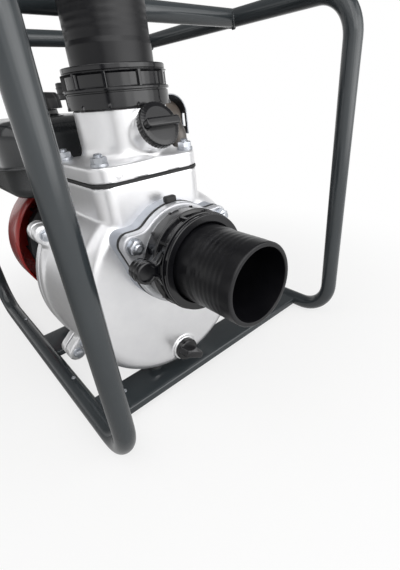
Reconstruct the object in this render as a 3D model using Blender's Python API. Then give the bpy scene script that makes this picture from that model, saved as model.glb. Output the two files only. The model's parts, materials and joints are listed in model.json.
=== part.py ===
"""Gas engine trash pump: a self-priming 3 inch pump on a small horizontal engine, in a tube frame.

Metres, +Z up. The pump faces -Y with its suction hose tail, the engine's starter faces +Y.
The origin is on the floor, under the middle of the whole machine.
Most pieces are drawn in the front frame: x to the right, y up and z forward, as seen from the hose.
"""
from math import acos, atan2, cos, pi, radians, sin, sqrt, tan

import bmesh
import bpy
from mathutils import Matrix, Vector

GAP = 0.0003
CUT = 0.010
ROUND = 20
INNER_ROUND = 16
SMALL_ROUND = 12
HEX_RING = 12
BEND_STEPS = 4
CORNER_STEPS = 3
SMALL_STEPS = 2

# Frame
TUBE_DIAMETER = 0.022
HOOP_SPACING = 0.367
HOOP_LENGTH = 0.463
FRAME_HEIGHT = 0.440
HOOP_BEND = 0.048
MOUTH_REACH = 0.060
PLATE_TOP = 0.0165
PLATE_THICKNESS = 0.003
PLATE_LIP = 0.010
FRONT_PLATE_WIDTH = 0.050
FRONT_PLATE_SETBACK = 0.056
REAR_PLATE_WIDTH = 0.060
TOP_BAR_SETBACK = 0.064
HOSE_ROOM = 0.0226
MOUNT_RADIUS = 0.010
MOUNT_WAIST = 0.008

# Pump line: the suction axis, and the crankshaft below it
SUCTION_X = -0.061
SUCTION_Z = 0.1915
CRANK_DROP = 0.049

# Hose coupling, measured from the shoulder that the ring screws up to
HOSE_DIAMETER = 0.077
HOSE_BORE = 0.068
HOSE_REACH = 0.0686
BARB_COUNT = 3
BARB_HEIGHT = 0.0008
BARB_ZONE = 0.0435
BARB_STEP = 0.0005
MOUTH_BAND = 0.006
MOUTH_CHAMFER = 0.001
SPIGOT_RADIUS = 0.043
SPIGOT_LENGTH = 0.017
WASHER_THICKNESS = 0.003
COLLAR_THICKNESS = 0.006
TAIL_ROOT_RADIUS = 0.0395
RING_RADIUS = 0.0510
RING_BAND_RADIUS = 0.0498
RING_BODY_RADIUS = 0.0500
RING_LIP_RADIUS = 0.0488
RING_LIP = 0.0082
RING_EDGE = 0.0042
RING_GROOVE_DEPTH = 0.001
RING_GROOVE_WIDTH = 0.0014
RIDGE_START = 0.0144
RIDGE_WIDTH = 0.0024
GRIP_REACH = 0.063
GRIP_ROUND = 0.0105
GRIP_WRAP = radians(132)
GRIP_NECK = 0.0068
GRIP_NECK_OUT = 0.003
GRIP_ROOT = 0.0140
GRIP_START = 0.0110
GRIP_DEPTH = 0.0152
GRIP_STEPS = 10
SUCTION_GRIP_ANGLE = radians(170)
DISCHARGE_GRIP_ANGLE = radians(115)
SHOULDER_RADIUS = 0.046
SHOULDER_HEIGHT = 0.004
SHOULDER_FILLET = 0.0025

# Suction flange
FLANGE_RADIUS = 0.0535
FLANGE_THICKNESS = 0.009
EAR_REACH = 0.061
EAR_ANGLE = radians(26)
EAR_ROUND = 0.0105
EAR_CORNER = radians(43.5)
EAR_STEPS = 5
GASKET_THICKNESS = 0.003
GASKET_LIP = 0.0005
TAB_WIDTH = 0.013
TAB_HEIGHT = 0.0058
TAB_DEPTH = 0.0075
TAB_CORNER = 0.003
TAB_ROOT_WIDTH = 0.0104
VALVE_BORE = 0.041
FLAP_RADIUS = 0.037
FLAP_THICKNESS = 0.005
FLAP_HINGE = 0.037
FLAP_TONGUE = 0.020
STUD_RADIUS = 0.004
NUT_WIDTH = 0.013
NUT_HEIGHT = 0.0065
NUT_WASHER_RADIUS = 0.0082
NUT_WASHER_THICKNESS = 0.0016
STUD_TIP = 0.003
STUD_DEPTH = 0.010

# Pump casing
CASING_RADIUS = 0.114
CASING_DEPTH = 0.1035
CASING_FILLET = 0.018
CASING_WALL = 0.006
CASING_FRONT_WALL = 0.0084
CASING_STEPS = 26
NECK_WIDTH = 0.122
NECK_SHIFT = -0.004
NECK_TOP = 0.077
PAD_HEIGHT = 0.012
CASING_LUG_RADIUS = 0.0115
CASING_LUG_CIRCLE = 0.121
CASING_LUG_ANGLES = tuple(radians(a) for a in (37, 143))
LOWER_LUG_ANGLES = tuple(radians(a) for a in (220, 320))
LOWER_LUG_REACH = 0.135
CASING_LUG_LENGTH = 0.014
FOOT_WIDTH = 0.078
FOOT_DEPTH = 0.020
FOOT_HEIGHT = 0.024
FOOT_SETBACK = 0.0145
FOOT_CORNER = 0.004
FOOT_DROP = 0.1155
FRONT_MOUNT_SPREAD = 0.028
DRAIN_DROP = 0.091
DRAIN_BOSS_RADIUS = 0.0165
DRAIN_HEAD_RADIUS = 0.0145
DRAIN_SHANK_RADIUS = 0.008
DRAIN_HEAD_HEIGHT = 0.006
DRAIN_HEAD_BEVEL = 0.002
DRAIN_CROWN = 0.0015
DRAIN_GRIP = 0.0155
DRAIN_GRIP_HALF = 0.0145
DRAIN_GRIP_THICKNESS = 0.008
DRAIN_GRIP_CORNER = 0.004
DRAIN_GRIP_TURN = radians(-32)
SEAL_THICKNESS = 0.0015

# Rear cover, volute and impeller
COVER_RIM = 0.011
COVER_DEPTH = 0.025
COVER_HUB_RADIUS = 0.074
COVER_FLARE = 0.012
COVER_STEP = 0.003
COVER_LUG_SETBACK = 0.0005
SHAFT_RADIUS = 0.010
COVER_BORE = 0.0135
SEAL_RADIUS = 0.017
SEAL_POCKET = 0.010
SEAL_NOSE = 0.003
SHAFT_NOSE = 0.004
CRANK_TAIL = 0.010
FLYWHEEL_SHOULDER = 0.001
VOLUTE_START = 0.068
VOLUTE_GROWTH = 0.018
VOLUTE_DEPTH = 0.046
VOLUTE_WALL = 0.005
VOLUTE_EYE = 0.032
VOLUTE_STEPS = 24
VOLUTE_PORT = 0.014
VOLUTE_PORT_DIP = 0.020
VOLUTE_PORT_FLOOR = 0.008
VOLUTE_PORT_ROOF = 0.006
IMPELLER_RADIUS = 0.057
IMPELLER_DISC = 0.006
IMPELLER_CLEARANCE = 0.003
IMPELLER_HUB = 0.018
IMPELLER_HUB_HEIGHT = 0.016
IMPELLER_HUB_TAPER = 0.004
VANE_COUNT = 4
VANE_HEIGHT = 0.026
VANE_THICKNESS = 0.006
VANE_SWEEP = radians(75)
VANE_ROOT = 0.005
VANE_TIP = 0.0005
VANE_STEPS = 4

# Discharge head
HEAD_HEIGHT = 0.015
HEAD_BEVEL = 0.002
HEAD_REAR_CORNER = 0.006
HEAD_GASKET_BORDER = 0.0218
HEAD_GASKET_CORNER = 0.010
DISCHARGE_NECK_HEIGHT = 0.0447
DISCHARGE_NECK_ROOT = 0.050
DISCHARGE_NECK_FILLET = 0.006
HEAD_STUD_INSET = 0.0115
PRIMING_TILT = radians(68)
PRIMING_RISE = 0.003
PRIMING_REACH = 0.064
PRIMING_BOSS_RADIUS = 0.016
PRIMING_CAP_RADIUS = 0.020
PRIMING_SHANK_RADIUS = 0.0115
PRIMING_SHANK = 0.016
PRIMING_CAP_HEIGHT = 0.009
PRIMING_CAP_BEVEL = 0.002
PRIMING_GRIP_WIDTH = 0.036
PRIMING_GRIP_THICKNESS = 0.008
PRIMING_GRIP_CORNER = 0.003
PRIMING_GRIP_HEIGHT = 0.016
PRIMING_ROOT = 0.020
PRIMING_HOLE = 0.034

# Engine, measured back from its front face
BASE_DROP = 0.106
BASE_WIDTH = 0.170
BASE_HEIGHT = 0.014
SIDE_COVER_DEPTH = 0.0215
SIDE_COVER_RADIUS = 0.078
SIDE_COVER_RIM = 0.0086
SIDE_COVER_STEP = 0.003
SIDE_COVER_WAIST = 0.0663
SIDE_COVER_HUB = 0.0629
CRANKCASE_RADIUS = 0.072
CRANKCASE_DEPTH = 0.094
CRANKCASE_WAIST = 0.0576
CRANKCASE_WRAP = radians(38)
BASE_SLOPE = 0.004
CRANK_RADIUS = 0.0150
BLOCK_BORE = 0.0154
CYLINDER_TILT = radians(65)
FIN_HALF_WIDTH = 0.057
FIN_MARGIN = 0.0005
FIN_CORE = 0.78
FIN_CORNER = 0.014
BARREL_ROOT = 0.030
FIN_COUNT = 6
FIN_START = 0.066
FIN_PITCH = 0.0085
FIN_THICKNESS = 0.003
HEAD_FIN_COUNT = 4
ROCKER_HALF_WIDTH = 0.046
ROCKER_HALF_DEPTH = 0.038
ROCKER_HEIGHT = 0.026
ROCKER_FLANGE = 0.004
ROCKER_FLANGE_THICKNESS = 0.004
ROCKER_DRAFT = 0.002
ROCKER_CROWN = 0.005
ROCKER_TOP_INSET = 0.008
ROCKER_CORNER = 0.014
PLUG_HEX_RADIUS = 0.010
PLUG_LENGTH = 0.046
PLUG_MARGIN = 0.001
PLUG_SEAT = 0.004
PLUG_HEX_WIDTH = 0.018
PLUG_HEX_TOP = 0.014
PLUG_CORE = 0.0055
PLUG_TIP = 0.005
PLUG_TERMINAL_RADIUS = 0.00275
PLUG_TERMINAL = 0.010
DIPSTICK_RADIUS = 0.014
DIPSTICK_BOSS = 0.020
DIPSTICK_REACH = 0.015
DIPSTICK_CAP_RADIUS = 0.0154
DIPSTICK_CAP_EDGE = 0.004
DIPSTICK_CAP_HEIGHT = 0.012
DIPSTICK_LEAN = radians(-50)
DIPSTICK_SIDE = 0.0648
DIPSTICK_DROP = 0.0396
SHROUD_RADIUS = 0.100
SHROUD_DEPTH = 0.056
SHROUD_WALL = 0.0025
SHROUD_INLET = 0.072
SHROUD_CORNER = 0.020
SHROUD_STEPS = 18
FLYWHEEL_RADIUS = 0.082
FLYWHEEL_THICKNESS = 0.014
FLYWHEEL_PLACE = 0.124
FAN_HEIGHT = 0.022
FAN_BLADES = 8
FAN_BLADE_THICKNESS = 0.0035
FAN_HUB = 0.0426
FAN_EYE = 0.0341
FAN_MARGIN = 0.002
FLYWHEEL_BORE = 0.0098
RECOIL_RADIUS = 0.086
RECOIL_DEPTH = 0.048
RECOIL_RIM = 0.004
RECOIL_RIM_STEP = 0.006
RECOIL_SIDE_INSET = 0.010
RECOIL_SHOULDER = 0.012
RECOIL_FACE_INSET = 0.024
RECOIL_SLOTS = 8
RECOIL_SLOT_WIDTH = 0.007
RECOIL_SLOT_START = 0.022
RECOIL_SLOT_END = 0.056
GUIDE_WALL = 0.003
GUIDE_LENGTH = 0.024
GUIDE_SINK = 0.002
PULLEY_RADIUS = 0.050
PULLEY_WIDTH = 0.014
PULLEY_PIN = 0.008
PULLEY_FRONT = 0.012
PULLEY_FLANK = 0.003
PULLEY_GROOVE = 0.040
HANDLE_WIDTH = 0.086
HANDLE_RADIUS = 0.011
HANDLE_STEM = 0.016
HANDLE_ANGLE = radians(56)
HANDLE_CIRCLE = 0.080
HANDLE_LEAN = radians(-135)
HANDLE_STEM_TAPER = 0.002
HANDLE_STEM_LENGTH = 0.0154
HANDLE_RISE = 0.0187
HANDLE_END = 0.008
HANDLE_END_RADIUS = 0.006
HANDLE_WAIST = 0.0094
SWITCH_INSET = 0.017
SWITCH_RADIUS = 0.011
SWITCH_HEIGHT = 0.010
SWITCH_RIM = 0.004
SWITCH_TOP_RADIUS = 0.0094
SWITCH_BAR_LENGTH = 0.0176
SWITCH_BAR_WIDTH = 0.005
SWITCH_BAR_HEIGHT = 0.005
SWITCH_BAR_CORNER = 0.001

# Fuel tank
TANK_WIDTH = 0.146
TANK_LENGTH = 0.166
TANK_SHIFT = -0.0265
TANK_BOTTOM_HEIGHT = 0.036
TANK_TOP_HEIGHT = 0.050
TANK_CORNER = 0.032
TANK_SEAM = 0.006
TANK_SEAM_THICKNESS = 0.002
TANK_FOOT = 0.014
TANK_FOOT_INSET = 0.010
TANK_SHOULDER = 0.022
TANK_CROWN = 0.010
TANK_CROWN_INSET = 0.005
TANK_DISH = 0.001
TANK_TOP_INSET = 0.018
TANK_POST_RADIUS = 0.007
TANK_POST_SPREAD = 0.030
TANK_POST_PLACE = 0.0282
FUEL_NECK_RADIUS = 0.024
FUEL_NECK_HEIGHT = 0.006
FUEL_CAP_RADIUS = 0.031
FUEL_CAP_HEIGHT = 0.020
FUEL_CAP_LOBES = 8
FUEL_CAP_DIP = 0.0015
FUEL_CAP_CROWN = 0.006
FUEL_CAP_CROWN_INSET = 0.005

# Muffler, carburettor and air cleaner, to the right of the tank
MUFFLER_CLEARANCE = 0.006
MUFFLER_WIDTH = 0.098
MUFFLER_LENGTH = 0.076
MUFFLER_RISE = 0.1295
MUFFLER_HEIGHT = 0.062
MUFFLER_ROUND = 0.024
MUFFLER_END = 0.006
PIPE_RADIUS = 0.012
PIPE_BEND = 0.018
GUARD_OFFSET = 0.006
GUARD_THICKNESS = 0.0015
GUARD_SKIRT = 0.0136
GUARD_POST_RADIUS = 0.0032
GUARD_POST_ROOT = 0.004
GUARD_POST_SPREAD = 0.0163
GUARD_SLOTS = 5
GUARD_SLOT_LENGTH = 0.0294
GUARD_SLOT_WIDTH = 0.0068
GUARD_SLOT_CORNER = 0.003
CARBURETTOR_SHIFT = 0.006
CARBURETTOR_WIDTH = 0.044
CARBURETTOR_DEPTH = 0.032
CARBURETTOR_HEIGHT = 0.038
CARBURETTOR_RISE = 0.004
CARBURETTOR_CORNER = 0.008
BOWL_RADIUS = 0.0152
BOWL_FOOT = 0.0091
BOWL_ROUND = 0.006
BOWL_HEIGHT = 0.022
DUCT_WIDTH = 0.0352
DUCT_DEPTH = 0.0256
CLEANER_WIDTH = 0.108
CLEANER_LENGTH = 0.094
CLEANER_CORNER = 0.022
CLEANER_RISE = 0.1215
CLEANER_BASE_HEIGHT = 0.014
CLEANER_COVER_HEIGHT = 0.058
CLEANER_SKIRT = 0.010
CLEANER_SKIRT_STEP = 0.003
CLEANER_DRAFT = 0.005
CLEANER_CROWN = 0.010
CLEANER_TOP_INSET = 0.013
CLEANER_KNOB_RADIUS = 0.016
CLEANER_KNOB_NECK = 0.0096
CLEANER_KNOB_FOOT = 0.006
CLEANER_KNOB_HEIGHT = 0.018
CLEANER_KNOB_EDGE = 0.002
BRACKET_THICKNESS = 0.003
BRACKET_LENGTH = 0.026
BRACKET_HEIGHT = 0.046
BRACKET_CORNER = 0.006
BRACKET_MARGIN = 0.001
BRACKET_RISE = 0.075
LEVER_THICKNESS = 0.003
LEVER_ROUND = 0.007
LEVER_CORNER = 0.0063
LEVER_END = 0.0056
LEVER_END_CORNER = 0.0039
LEVER_MARGIN = 0.001
THROTTLE_ANGLE = radians(-70)
CHOKE_ANGLE = radians(-20)
FUEL_LEVER_ANGLE = radians(-90)
THROTTLE_LENGTH = 0.052
CHOKE_LENGTH = 0.030
FUEL_LEVER_LENGTH = 0.028
PIVOT_RADIUS = 0.003

# Places worked out from the sizes above
TUBE_RADIUS = TUBE_DIAMETER / 2
OVERALL_LENGTH = MOUTH_REACH + HOOP_LENGTH + TUBE_DIAMETER
FRONT_LEG_Y = -OVERALL_LENGTH / 2 + MOUTH_REACH + TUBE_RADIUS
REAR_LEG_Y = FRONT_LEG_Y + HOOP_LENGTH
MOUTH_Y = -OVERALL_LENGTH / 2
CRANK_Z = SUCTION_Z - CRANK_DROP
FOOT_BOTTOM = CRANK_Z - FOOT_DROP
MUFFLER_BOTTOM = CRANK_Z + MUFFLER_RISE
CLEANER_FLOOR = CRANK_Z + CLEANER_RISE
WASHER_START = SPIGOT_LENGTH + GAP
COLLAR_START = WASHER_START + WASHER_THICKNESS + GAP
LIP_START = COLLAR_START + COLLAR_THICKNESS + GAP
RING_FRONT = LIP_START + RING_LIP
MOUTH_START = RING_FRONT + HOSE_REACH
FLANGE_SEAT_Y = MOUTH_Y + MOUTH_START + SHOULDER_HEIGHT + FLANGE_THICKNESS
PAD_Y = FLANGE_SEAT_Y + GASKET_THICKNESS + 2 * GAP
CASING_REAR_Y = PAD_Y + PAD_HEIGHT + CASING_DEPTH
COVER_Y = CASING_REAR_Y + SEAL_THICKNESS + 2 * GAP
ENGINE_Y = COVER_Y + COVER_DEPTH + GAP
BLOCK_Y = ENGINE_Y + SIDE_COVER_DEPTH + GAP
SHROUD_Y = BLOCK_Y + CRANKCASE_DEPTH + GAP
RECOIL_Y = SHROUD_Y + SHROUD_DEPTH + GAP
ENGINE_BASE_Z = CRANK_Z - BASE_DROP
NECK_TOP_Z = SUCTION_Z + NECK_TOP
NECK_X = SUCTION_X + NECK_SHIFT
NECK_Y = CASING_REAR_Y - CASING_DEPTH / 2
HEAD_Z = NECK_TOP_Z + GASKET_THICKNESS + 2 * GAP
DISCHARGE_Z = HEAD_Z + HEAD_HEIGHT + DISCHARGE_NECK_HEIGHT
FRONT_PLATE_Y = FRONT_LEG_Y + FRONT_PLATE_SETBACK + FRONT_PLATE_WIDTH / 2
REAR_PLATE_Y = BLOCK_Y + CRANKCASE_DEPTH / 2
FOOT_Y = FRONT_PLATE_Y + FOOT_SETBACK
HEAD_START = FIN_START + FIN_COUNT * FIN_PITCH + GAP
ROCKER_START = HEAD_START + HEAD_FIN_COUNT * FIN_PITCH + GAP
CYLINDER_Y = BLOCK_Y + CRANKCASE_DEPTH / 2
FIN_HALF_DEPTH = CRANKCASE_DEPTH / 2 - FIN_MARGIN
TANK_Z = CRANK_Z + SHROUD_RADIUS + GAP
TANK_X = SUCTION_X + TANK_SHIFT
TANK_Y = SHROUD_Y + SHROUD_DEPTH - TANK_LENGTH / 2
GUARD_SIDE = MUFFLER_WIDTH / 2 + GUARD_OFFSET + GUARD_THICKNESS
MUFFLER_X = TANK_X + TANK_WIDTH / 2 + MUFFLER_CLEARANCE + GUARD_SIDE

FRONT = (pi / 2, 0, 0)
UPRIGHT = (0, 0, 0)


def surface(name, colour, roughness, metallic):
    """Material with one colour (sRGB hex), roughness and metallic value."""
    material = bpy.data.materials.new(name)
    material.use_nodes = True
    shader = material.node_tree.nodes["Principled BSDF"]
    channels = [int(colour[i:i + 2], 16) / 255 for i in (1, 3, 5)]
    linear = [c / 12.92 if c <= 0.04045 else ((c + 0.055) / 1.055) ** 2.4 for c in channels]
    shader.inputs["Base Color"].default_value = (*linear, 1)
    shader.inputs["Roughness"].default_value = roughness
    shader.inputs["Metallic"].default_value = metallic
    return material


def loft(rings, looped=False):
    """Skin over rings of equally many points. A looped skin joins its last ring to its first."""
    bm = bmesh.new()
    rows = [[bm.verts.new(point) for point in ring] for ring in rings]
    count = len(rows[0])
    pairs = list(zip(rows, rows[1:]))
    if looped:
        pairs.append((rows[-1], rows[0]))
    else:
        bm.faces.new(rows[0])
        bm.faces.new(rows[-1])
    for low, high in pairs:
        for i in range(count):
            j = (i + 1) % count
            bm.faces.new((low[i], low[j], high[j], high[i]))
    bmesh.ops.recalc_face_normals(bm, faces=bm.faces)
    return bm


def arc(centre, radius, start, end, steps):
    """Points on a circle from one angle to another."""
    angles = [start + (end - start) * k / steps for k in range(steps + 1)]
    return [(centre[0] + radius * cos(a), centre[1] + radius * sin(a)) for a in angles]


def circle(radius, count, centre=(0, 0)):
    """Closed circle of points."""
    return arc(centre, radius, 0, 2 * pi * (count - 1) / count, count - 1)


def filleted(corners, steps=CORNER_STEPS):
    """Outline through (x, y, radius) corners, with each corner rounded by its radius."""
    points = []
    for i, (x, y, radius) in enumerate(corners):
        corner = Vector((x, y))
        before = (Vector(corners[i - 1][:2]) - corner).normalized()
        after = (Vector(corners[(i + 1) % len(corners)][:2]) - corner).normalized()
        if radius == 0:
            points.append((x, y))
            continue
        half = acos(before.dot(after)) / 2
        centre = corner + (before + after).normalized() * radius / sin(half)
        start = corner + before * radius / tan(half) - centre
        end = corner + after * radius / tan(half) - centre
        first = atan2(start.y, start.x)
        turn = (atan2(end.y, end.x) - first + pi) % (2 * pi) - pi
        points += arc(centre, radius, first, first + turn, steps)
    return points


def rectangle(width, height, radius, steps=CORNER_STEPS, centre=(0, 0)):
    """Rounded rectangle about a centre."""
    x, y = width / 2, height / 2
    corners = [(sx * x + centre[0], sy * y + centre[1], radius)
               for sx, sy in ((1, -1), (1, 1), (-1, 1), (-1, -1))]
    return filleted(corners, steps)


def prism(outline, low, high):
    """Solid with one outline, from one height to another."""
    return loft([[(x, y, z) for x, y in outline] for z in (low, high)])


def stack(levels):
    """Solid through (outline, height) levels."""
    return loft([[(x, y, z) for x, y in outline] for outline, z in levels])


def turned(profile, segments, bored=False):
    """Solid turned about z from (radius, height) points. A bored profile is a closed loop."""
    return loft([[(x, y, z) for x, y in circle(r, segments)] for r, z in profile], looped=bored)


def tube(path, radius, sides, normal, looped=False):
    """Round tube along a path that lies in the plane across the given normal."""
    across = Vector(normal)
    rings = []
    count = len(path)
    for i, point in enumerate(path):
        ahead = path[(i + 1) % count] if looped or i + 1 < count else point
        behind = path[i - 1] if looped or i > 0 else point
        beside = (Vector(ahead) - Vector(behind)).normalized().cross(across)
        rings.append([Vector(point) + across * x + beside * y for x, y in circle(radius, sides)])
    return loft(rings, looped)


def moved(bm, matrix):
    """The same shape, carried by a matrix."""
    bmesh.ops.transform(bm, matrix=matrix, verts=bm.verts)
    return bm


def shifted(bm, x=0.0, y=0.0, z=0.0):
    """The same shape, carried along the axes."""
    return moved(bm, Matrix.Translation((x, y, z)))


def gathered(shapes):
    """Several separate shapes as one tool for a Boolean."""
    whole = bmesh.new()
    for shape in shapes:
        mesh = bpy.data.meshes.new("shape")
        shape.to_mesh(mesh)
        shape.free()
        whole.from_mesh(mesh)
        bpy.data.meshes.remove(mesh)
    return whole


def make(name, bm, material, place=(0, 0, 0), turn=UPRIGHT):
    """Object of a shape, at a place."""
    mesh = bpy.data.meshes.new(name)
    bm.to_mesh(mesh)
    bm.free()
    mesh.shade_smooth()
    mesh.set_sharp_from_angle(angle=radians(35))
    piece = bpy.data.objects.new(name, mesh)
    piece.location = place
    piece.rotation_euler = turn
    if material:
        mesh.materials.append(material)
    bpy.context.scene.collection.objects.link(piece)
    return piece


def combine(piece, bm, operation):
    """Boolean with a tool drawn in the piece's own frame."""
    modifier = piece.modifiers.new(operation.title(), "BOOLEAN")
    tool = make(f"{piece.name}_{len(piece.modifiers)}", bm, None, piece.location, piece.rotation_euler)
    tool.hide_render = True
    tool.display_type = "WIRE"
    modifier.operation = operation
    modifier.solver = "EXACT"
    modifier.object = tool


def join(piece, bm):
    """Fuse a shape to a piece."""
    combine(piece, bm, "UNION")


def cut(piece, bm):
    """Cut a shape from a piece."""
    combine(piece, bm, "DIFFERENCE")


def rod(radius, low, high, segments=INNER_ROUND, centre=(0, 0)):
    """Plain round bar along z."""
    return prism(circle(radius, segments, centre), low, high)


def hexagon(width):
    """Ring on a hexagon of the given width across flats: its corners and the middles of its sides."""
    reach = width / 2 / cos(pi / 6)
    return [(r * cos(a), r * sin(a)) for k in range(HEX_RING)
            for a, r in [(2 * pi * k / HEX_RING, reach if k % 2 == 0 else width / 2)]]


def hoop_path(x):
    """Rounded rectangle of the side hoop, as points on the tube's middle line."""
    low, high = TUBE_RADIUS, FRAME_HEIGHT - TUBE_RADIUS
    corners = [(y, z, HOOP_BEND) for y, z in
               ((FRONT_LEG_Y, low), (REAR_LEG_Y, low), (REAR_LEG_Y, high), (FRONT_LEG_Y, high))]
    return [(x, y, z) for y, z in filleted(corners, BEND_STEPS)]


def build_frame(paint, rubber):
    """Side hoops, cross plates, top bars and the rubber mounts."""
    side = HOOP_SPACING / 2
    for name, x in (("left_hoop", -side), ("right_hoop", side)):
        make(name, tube(hoop_path(x), TUBE_RADIUS, SMALL_ROUND, (1, 0, 0), looped=True), paint)
    cross_plate("front_cross_plate", FRONT_PLATE_Y, FRONT_PLATE_WIDTH, paint)
    cross_plate("rear_cross_plate", REAR_PLATE_Y, REAR_PLATE_WIDTH, paint)
    top = FRAME_HEIGHT - TUBE_RADIUS
    for name, y in (("front_top_bar", NECK_Y + RING_RADIUS + HOSE_ROOM),
                    ("rear_top_bar", REAR_LEG_Y - TOP_BAR_SETBACK)):
        bar = make(name, tube([(-side, y, top), (side, y, top)], TUBE_RADIUS, SMALL_ROUND, (0, 1, 0)), paint)
        cut(bar, skid_room(top))
    spread = BASE_WIDTH / 2 - 2 * MOUNT_RADIUS
    for side_name, sign in (("left", -1), ("right", 1)):
        rubber_mount(f"mount_front_{side_name}", SUCTION_X + sign * FRONT_MOUNT_SPREAD,
                     FOOT_Y, FOOT_BOTTOM, rubber)
        rubber_mount(f"mount_rear_{side_name}", SUCTION_X + sign * spread,
                     REAR_PLATE_Y, ENGINE_BASE_Z, rubber)


def skid_room(height):
    """Tool that saddles a cross piece to the two tubes at one height."""
    side = HOOP_SPACING / 2
    return gathered([tube([(x, FRONT_LEG_Y, height), (x, REAR_LEG_Y, height)],
                          TUBE_RADIUS + GAP, INNER_ROUND, (1, 0, 0)) for x in (-side, side)])


def cross_plate(name, y, width, paint):
    """Pressed channel between the skids, with a lip folded down along both edges."""
    outer, inner = width / 2, width / 2 - PLATE_THICKNESS
    web, foot = PLATE_TOP - PLATE_THICKNESS, PLATE_TOP - PLATE_LIP
    section = [(-outer, foot), (-inner, foot), (-inner, web), (inner, web), (inner, foot), (outer, foot),
               (outer, PLATE_TOP), (-outer, PLATE_TOP)]
    half = HOOP_SPACING / 2
    plate = make(name, loft([[(x, y + across, z) for across, z in section] for x in (-half, half)]), paint)
    cut(plate, skid_room(TUBE_RADIUS))


def rubber_mount(name, x, y, seat, rubber):
    """Waisted rubber block between a cross plate and the seat above it."""
    low, high = PLATE_TOP + GAP, seat - GAP
    middle = (low + high) / 2
    profile = [(MOUNT_RADIUS, low), (MOUNT_WAIST, middle), (MOUNT_RADIUS, high)]
    make(name, turned([(r, z - low) for r, z in profile], SMALL_ROUND), rubber, (x, y, low))


def casing_ring(inset, depth):
    """One ring of the casing: the round chamber with the square neck on top, drawn in by an inset."""
    left = NECK_SHIFT - NECK_WIDTH / 2 + inset
    right = NECK_SHIFT + NECK_WIDTH / 2 - inset
    radius = CASING_RADIUS - inset
    top = CRANK_DROP + NECK_TOP
    start = pi - acos(-left / radius)
    end = 2 * pi + acos(right / radius)
    outline = [(left, top), *arc((0, 0), radius, start, end, CASING_STEPS), (right, top)]
    return [(x, y, depth) for x, y in outline]


def flange_outline(grow=0.0):
    """Flange with two ears: each ear runs tangent into the round below and meets it at a corner above."""
    radius, round_ = FLANGE_RADIUS + grow, EAR_ROUND + grow
    ear = Vector((cos(EAR_ANGLE), sin(EAR_ANGLE))) * EAR_REACH
    low = EAR_ANGLE - acos((radius - round_) / EAR_REACH)
    corner = Vector((cos(EAR_CORNER), sin(EAR_CORNER))) * radius
    back = corner - ear
    high = atan2(back.y, back.x) - acos(round_ / back.length)
    right = [*arc((0, 0), radius, -pi / 2, low, EAR_STEPS), *arc(ear, round_, low, high, EAR_STEPS),
             *arc((0, 0), radius, EAR_CORNER, pi / 2, CORNER_STEPS)]
    return right + [(-x, y) for x, y in reversed(right[1:-1])]


def ear_centres():
    """Places of the two flange studs about the suction axis."""
    return [(sign * EAR_REACH * cos(EAR_ANGLE), EAR_REACH * sin(EAR_ANGLE)) for sign in (-1, 1)]


def casing_lugs(low, high):
    """Bolt lugs round the joint between casing and rear cover: round ones above, long two-bolt ones below."""
    lugs = [rod(CASING_LUG_RADIUS, low, high, SMALL_ROUND,
                (CASING_LUG_CIRCLE * cos(a), CASING_LUG_CIRCLE * sin(a)))
            for a in CASING_LUG_ANGLES]
    half = SMALL_ROUND // 2
    long_lug = [*arc((LOWER_LUG_REACH, 0), CASING_LUG_RADIUS, -pi / 2, pi / 2, half),
                *arc((CASING_LUG_CIRCLE, 0), CASING_LUG_RADIUS, pi / 2, 3 * pi / 2, half)]
    lugs += [moved(prism(long_lug, low, high), Matrix.Rotation(a, 4, "Z")) for a in LOWER_LUG_ANGLES]
    return gathered(lugs)


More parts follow.
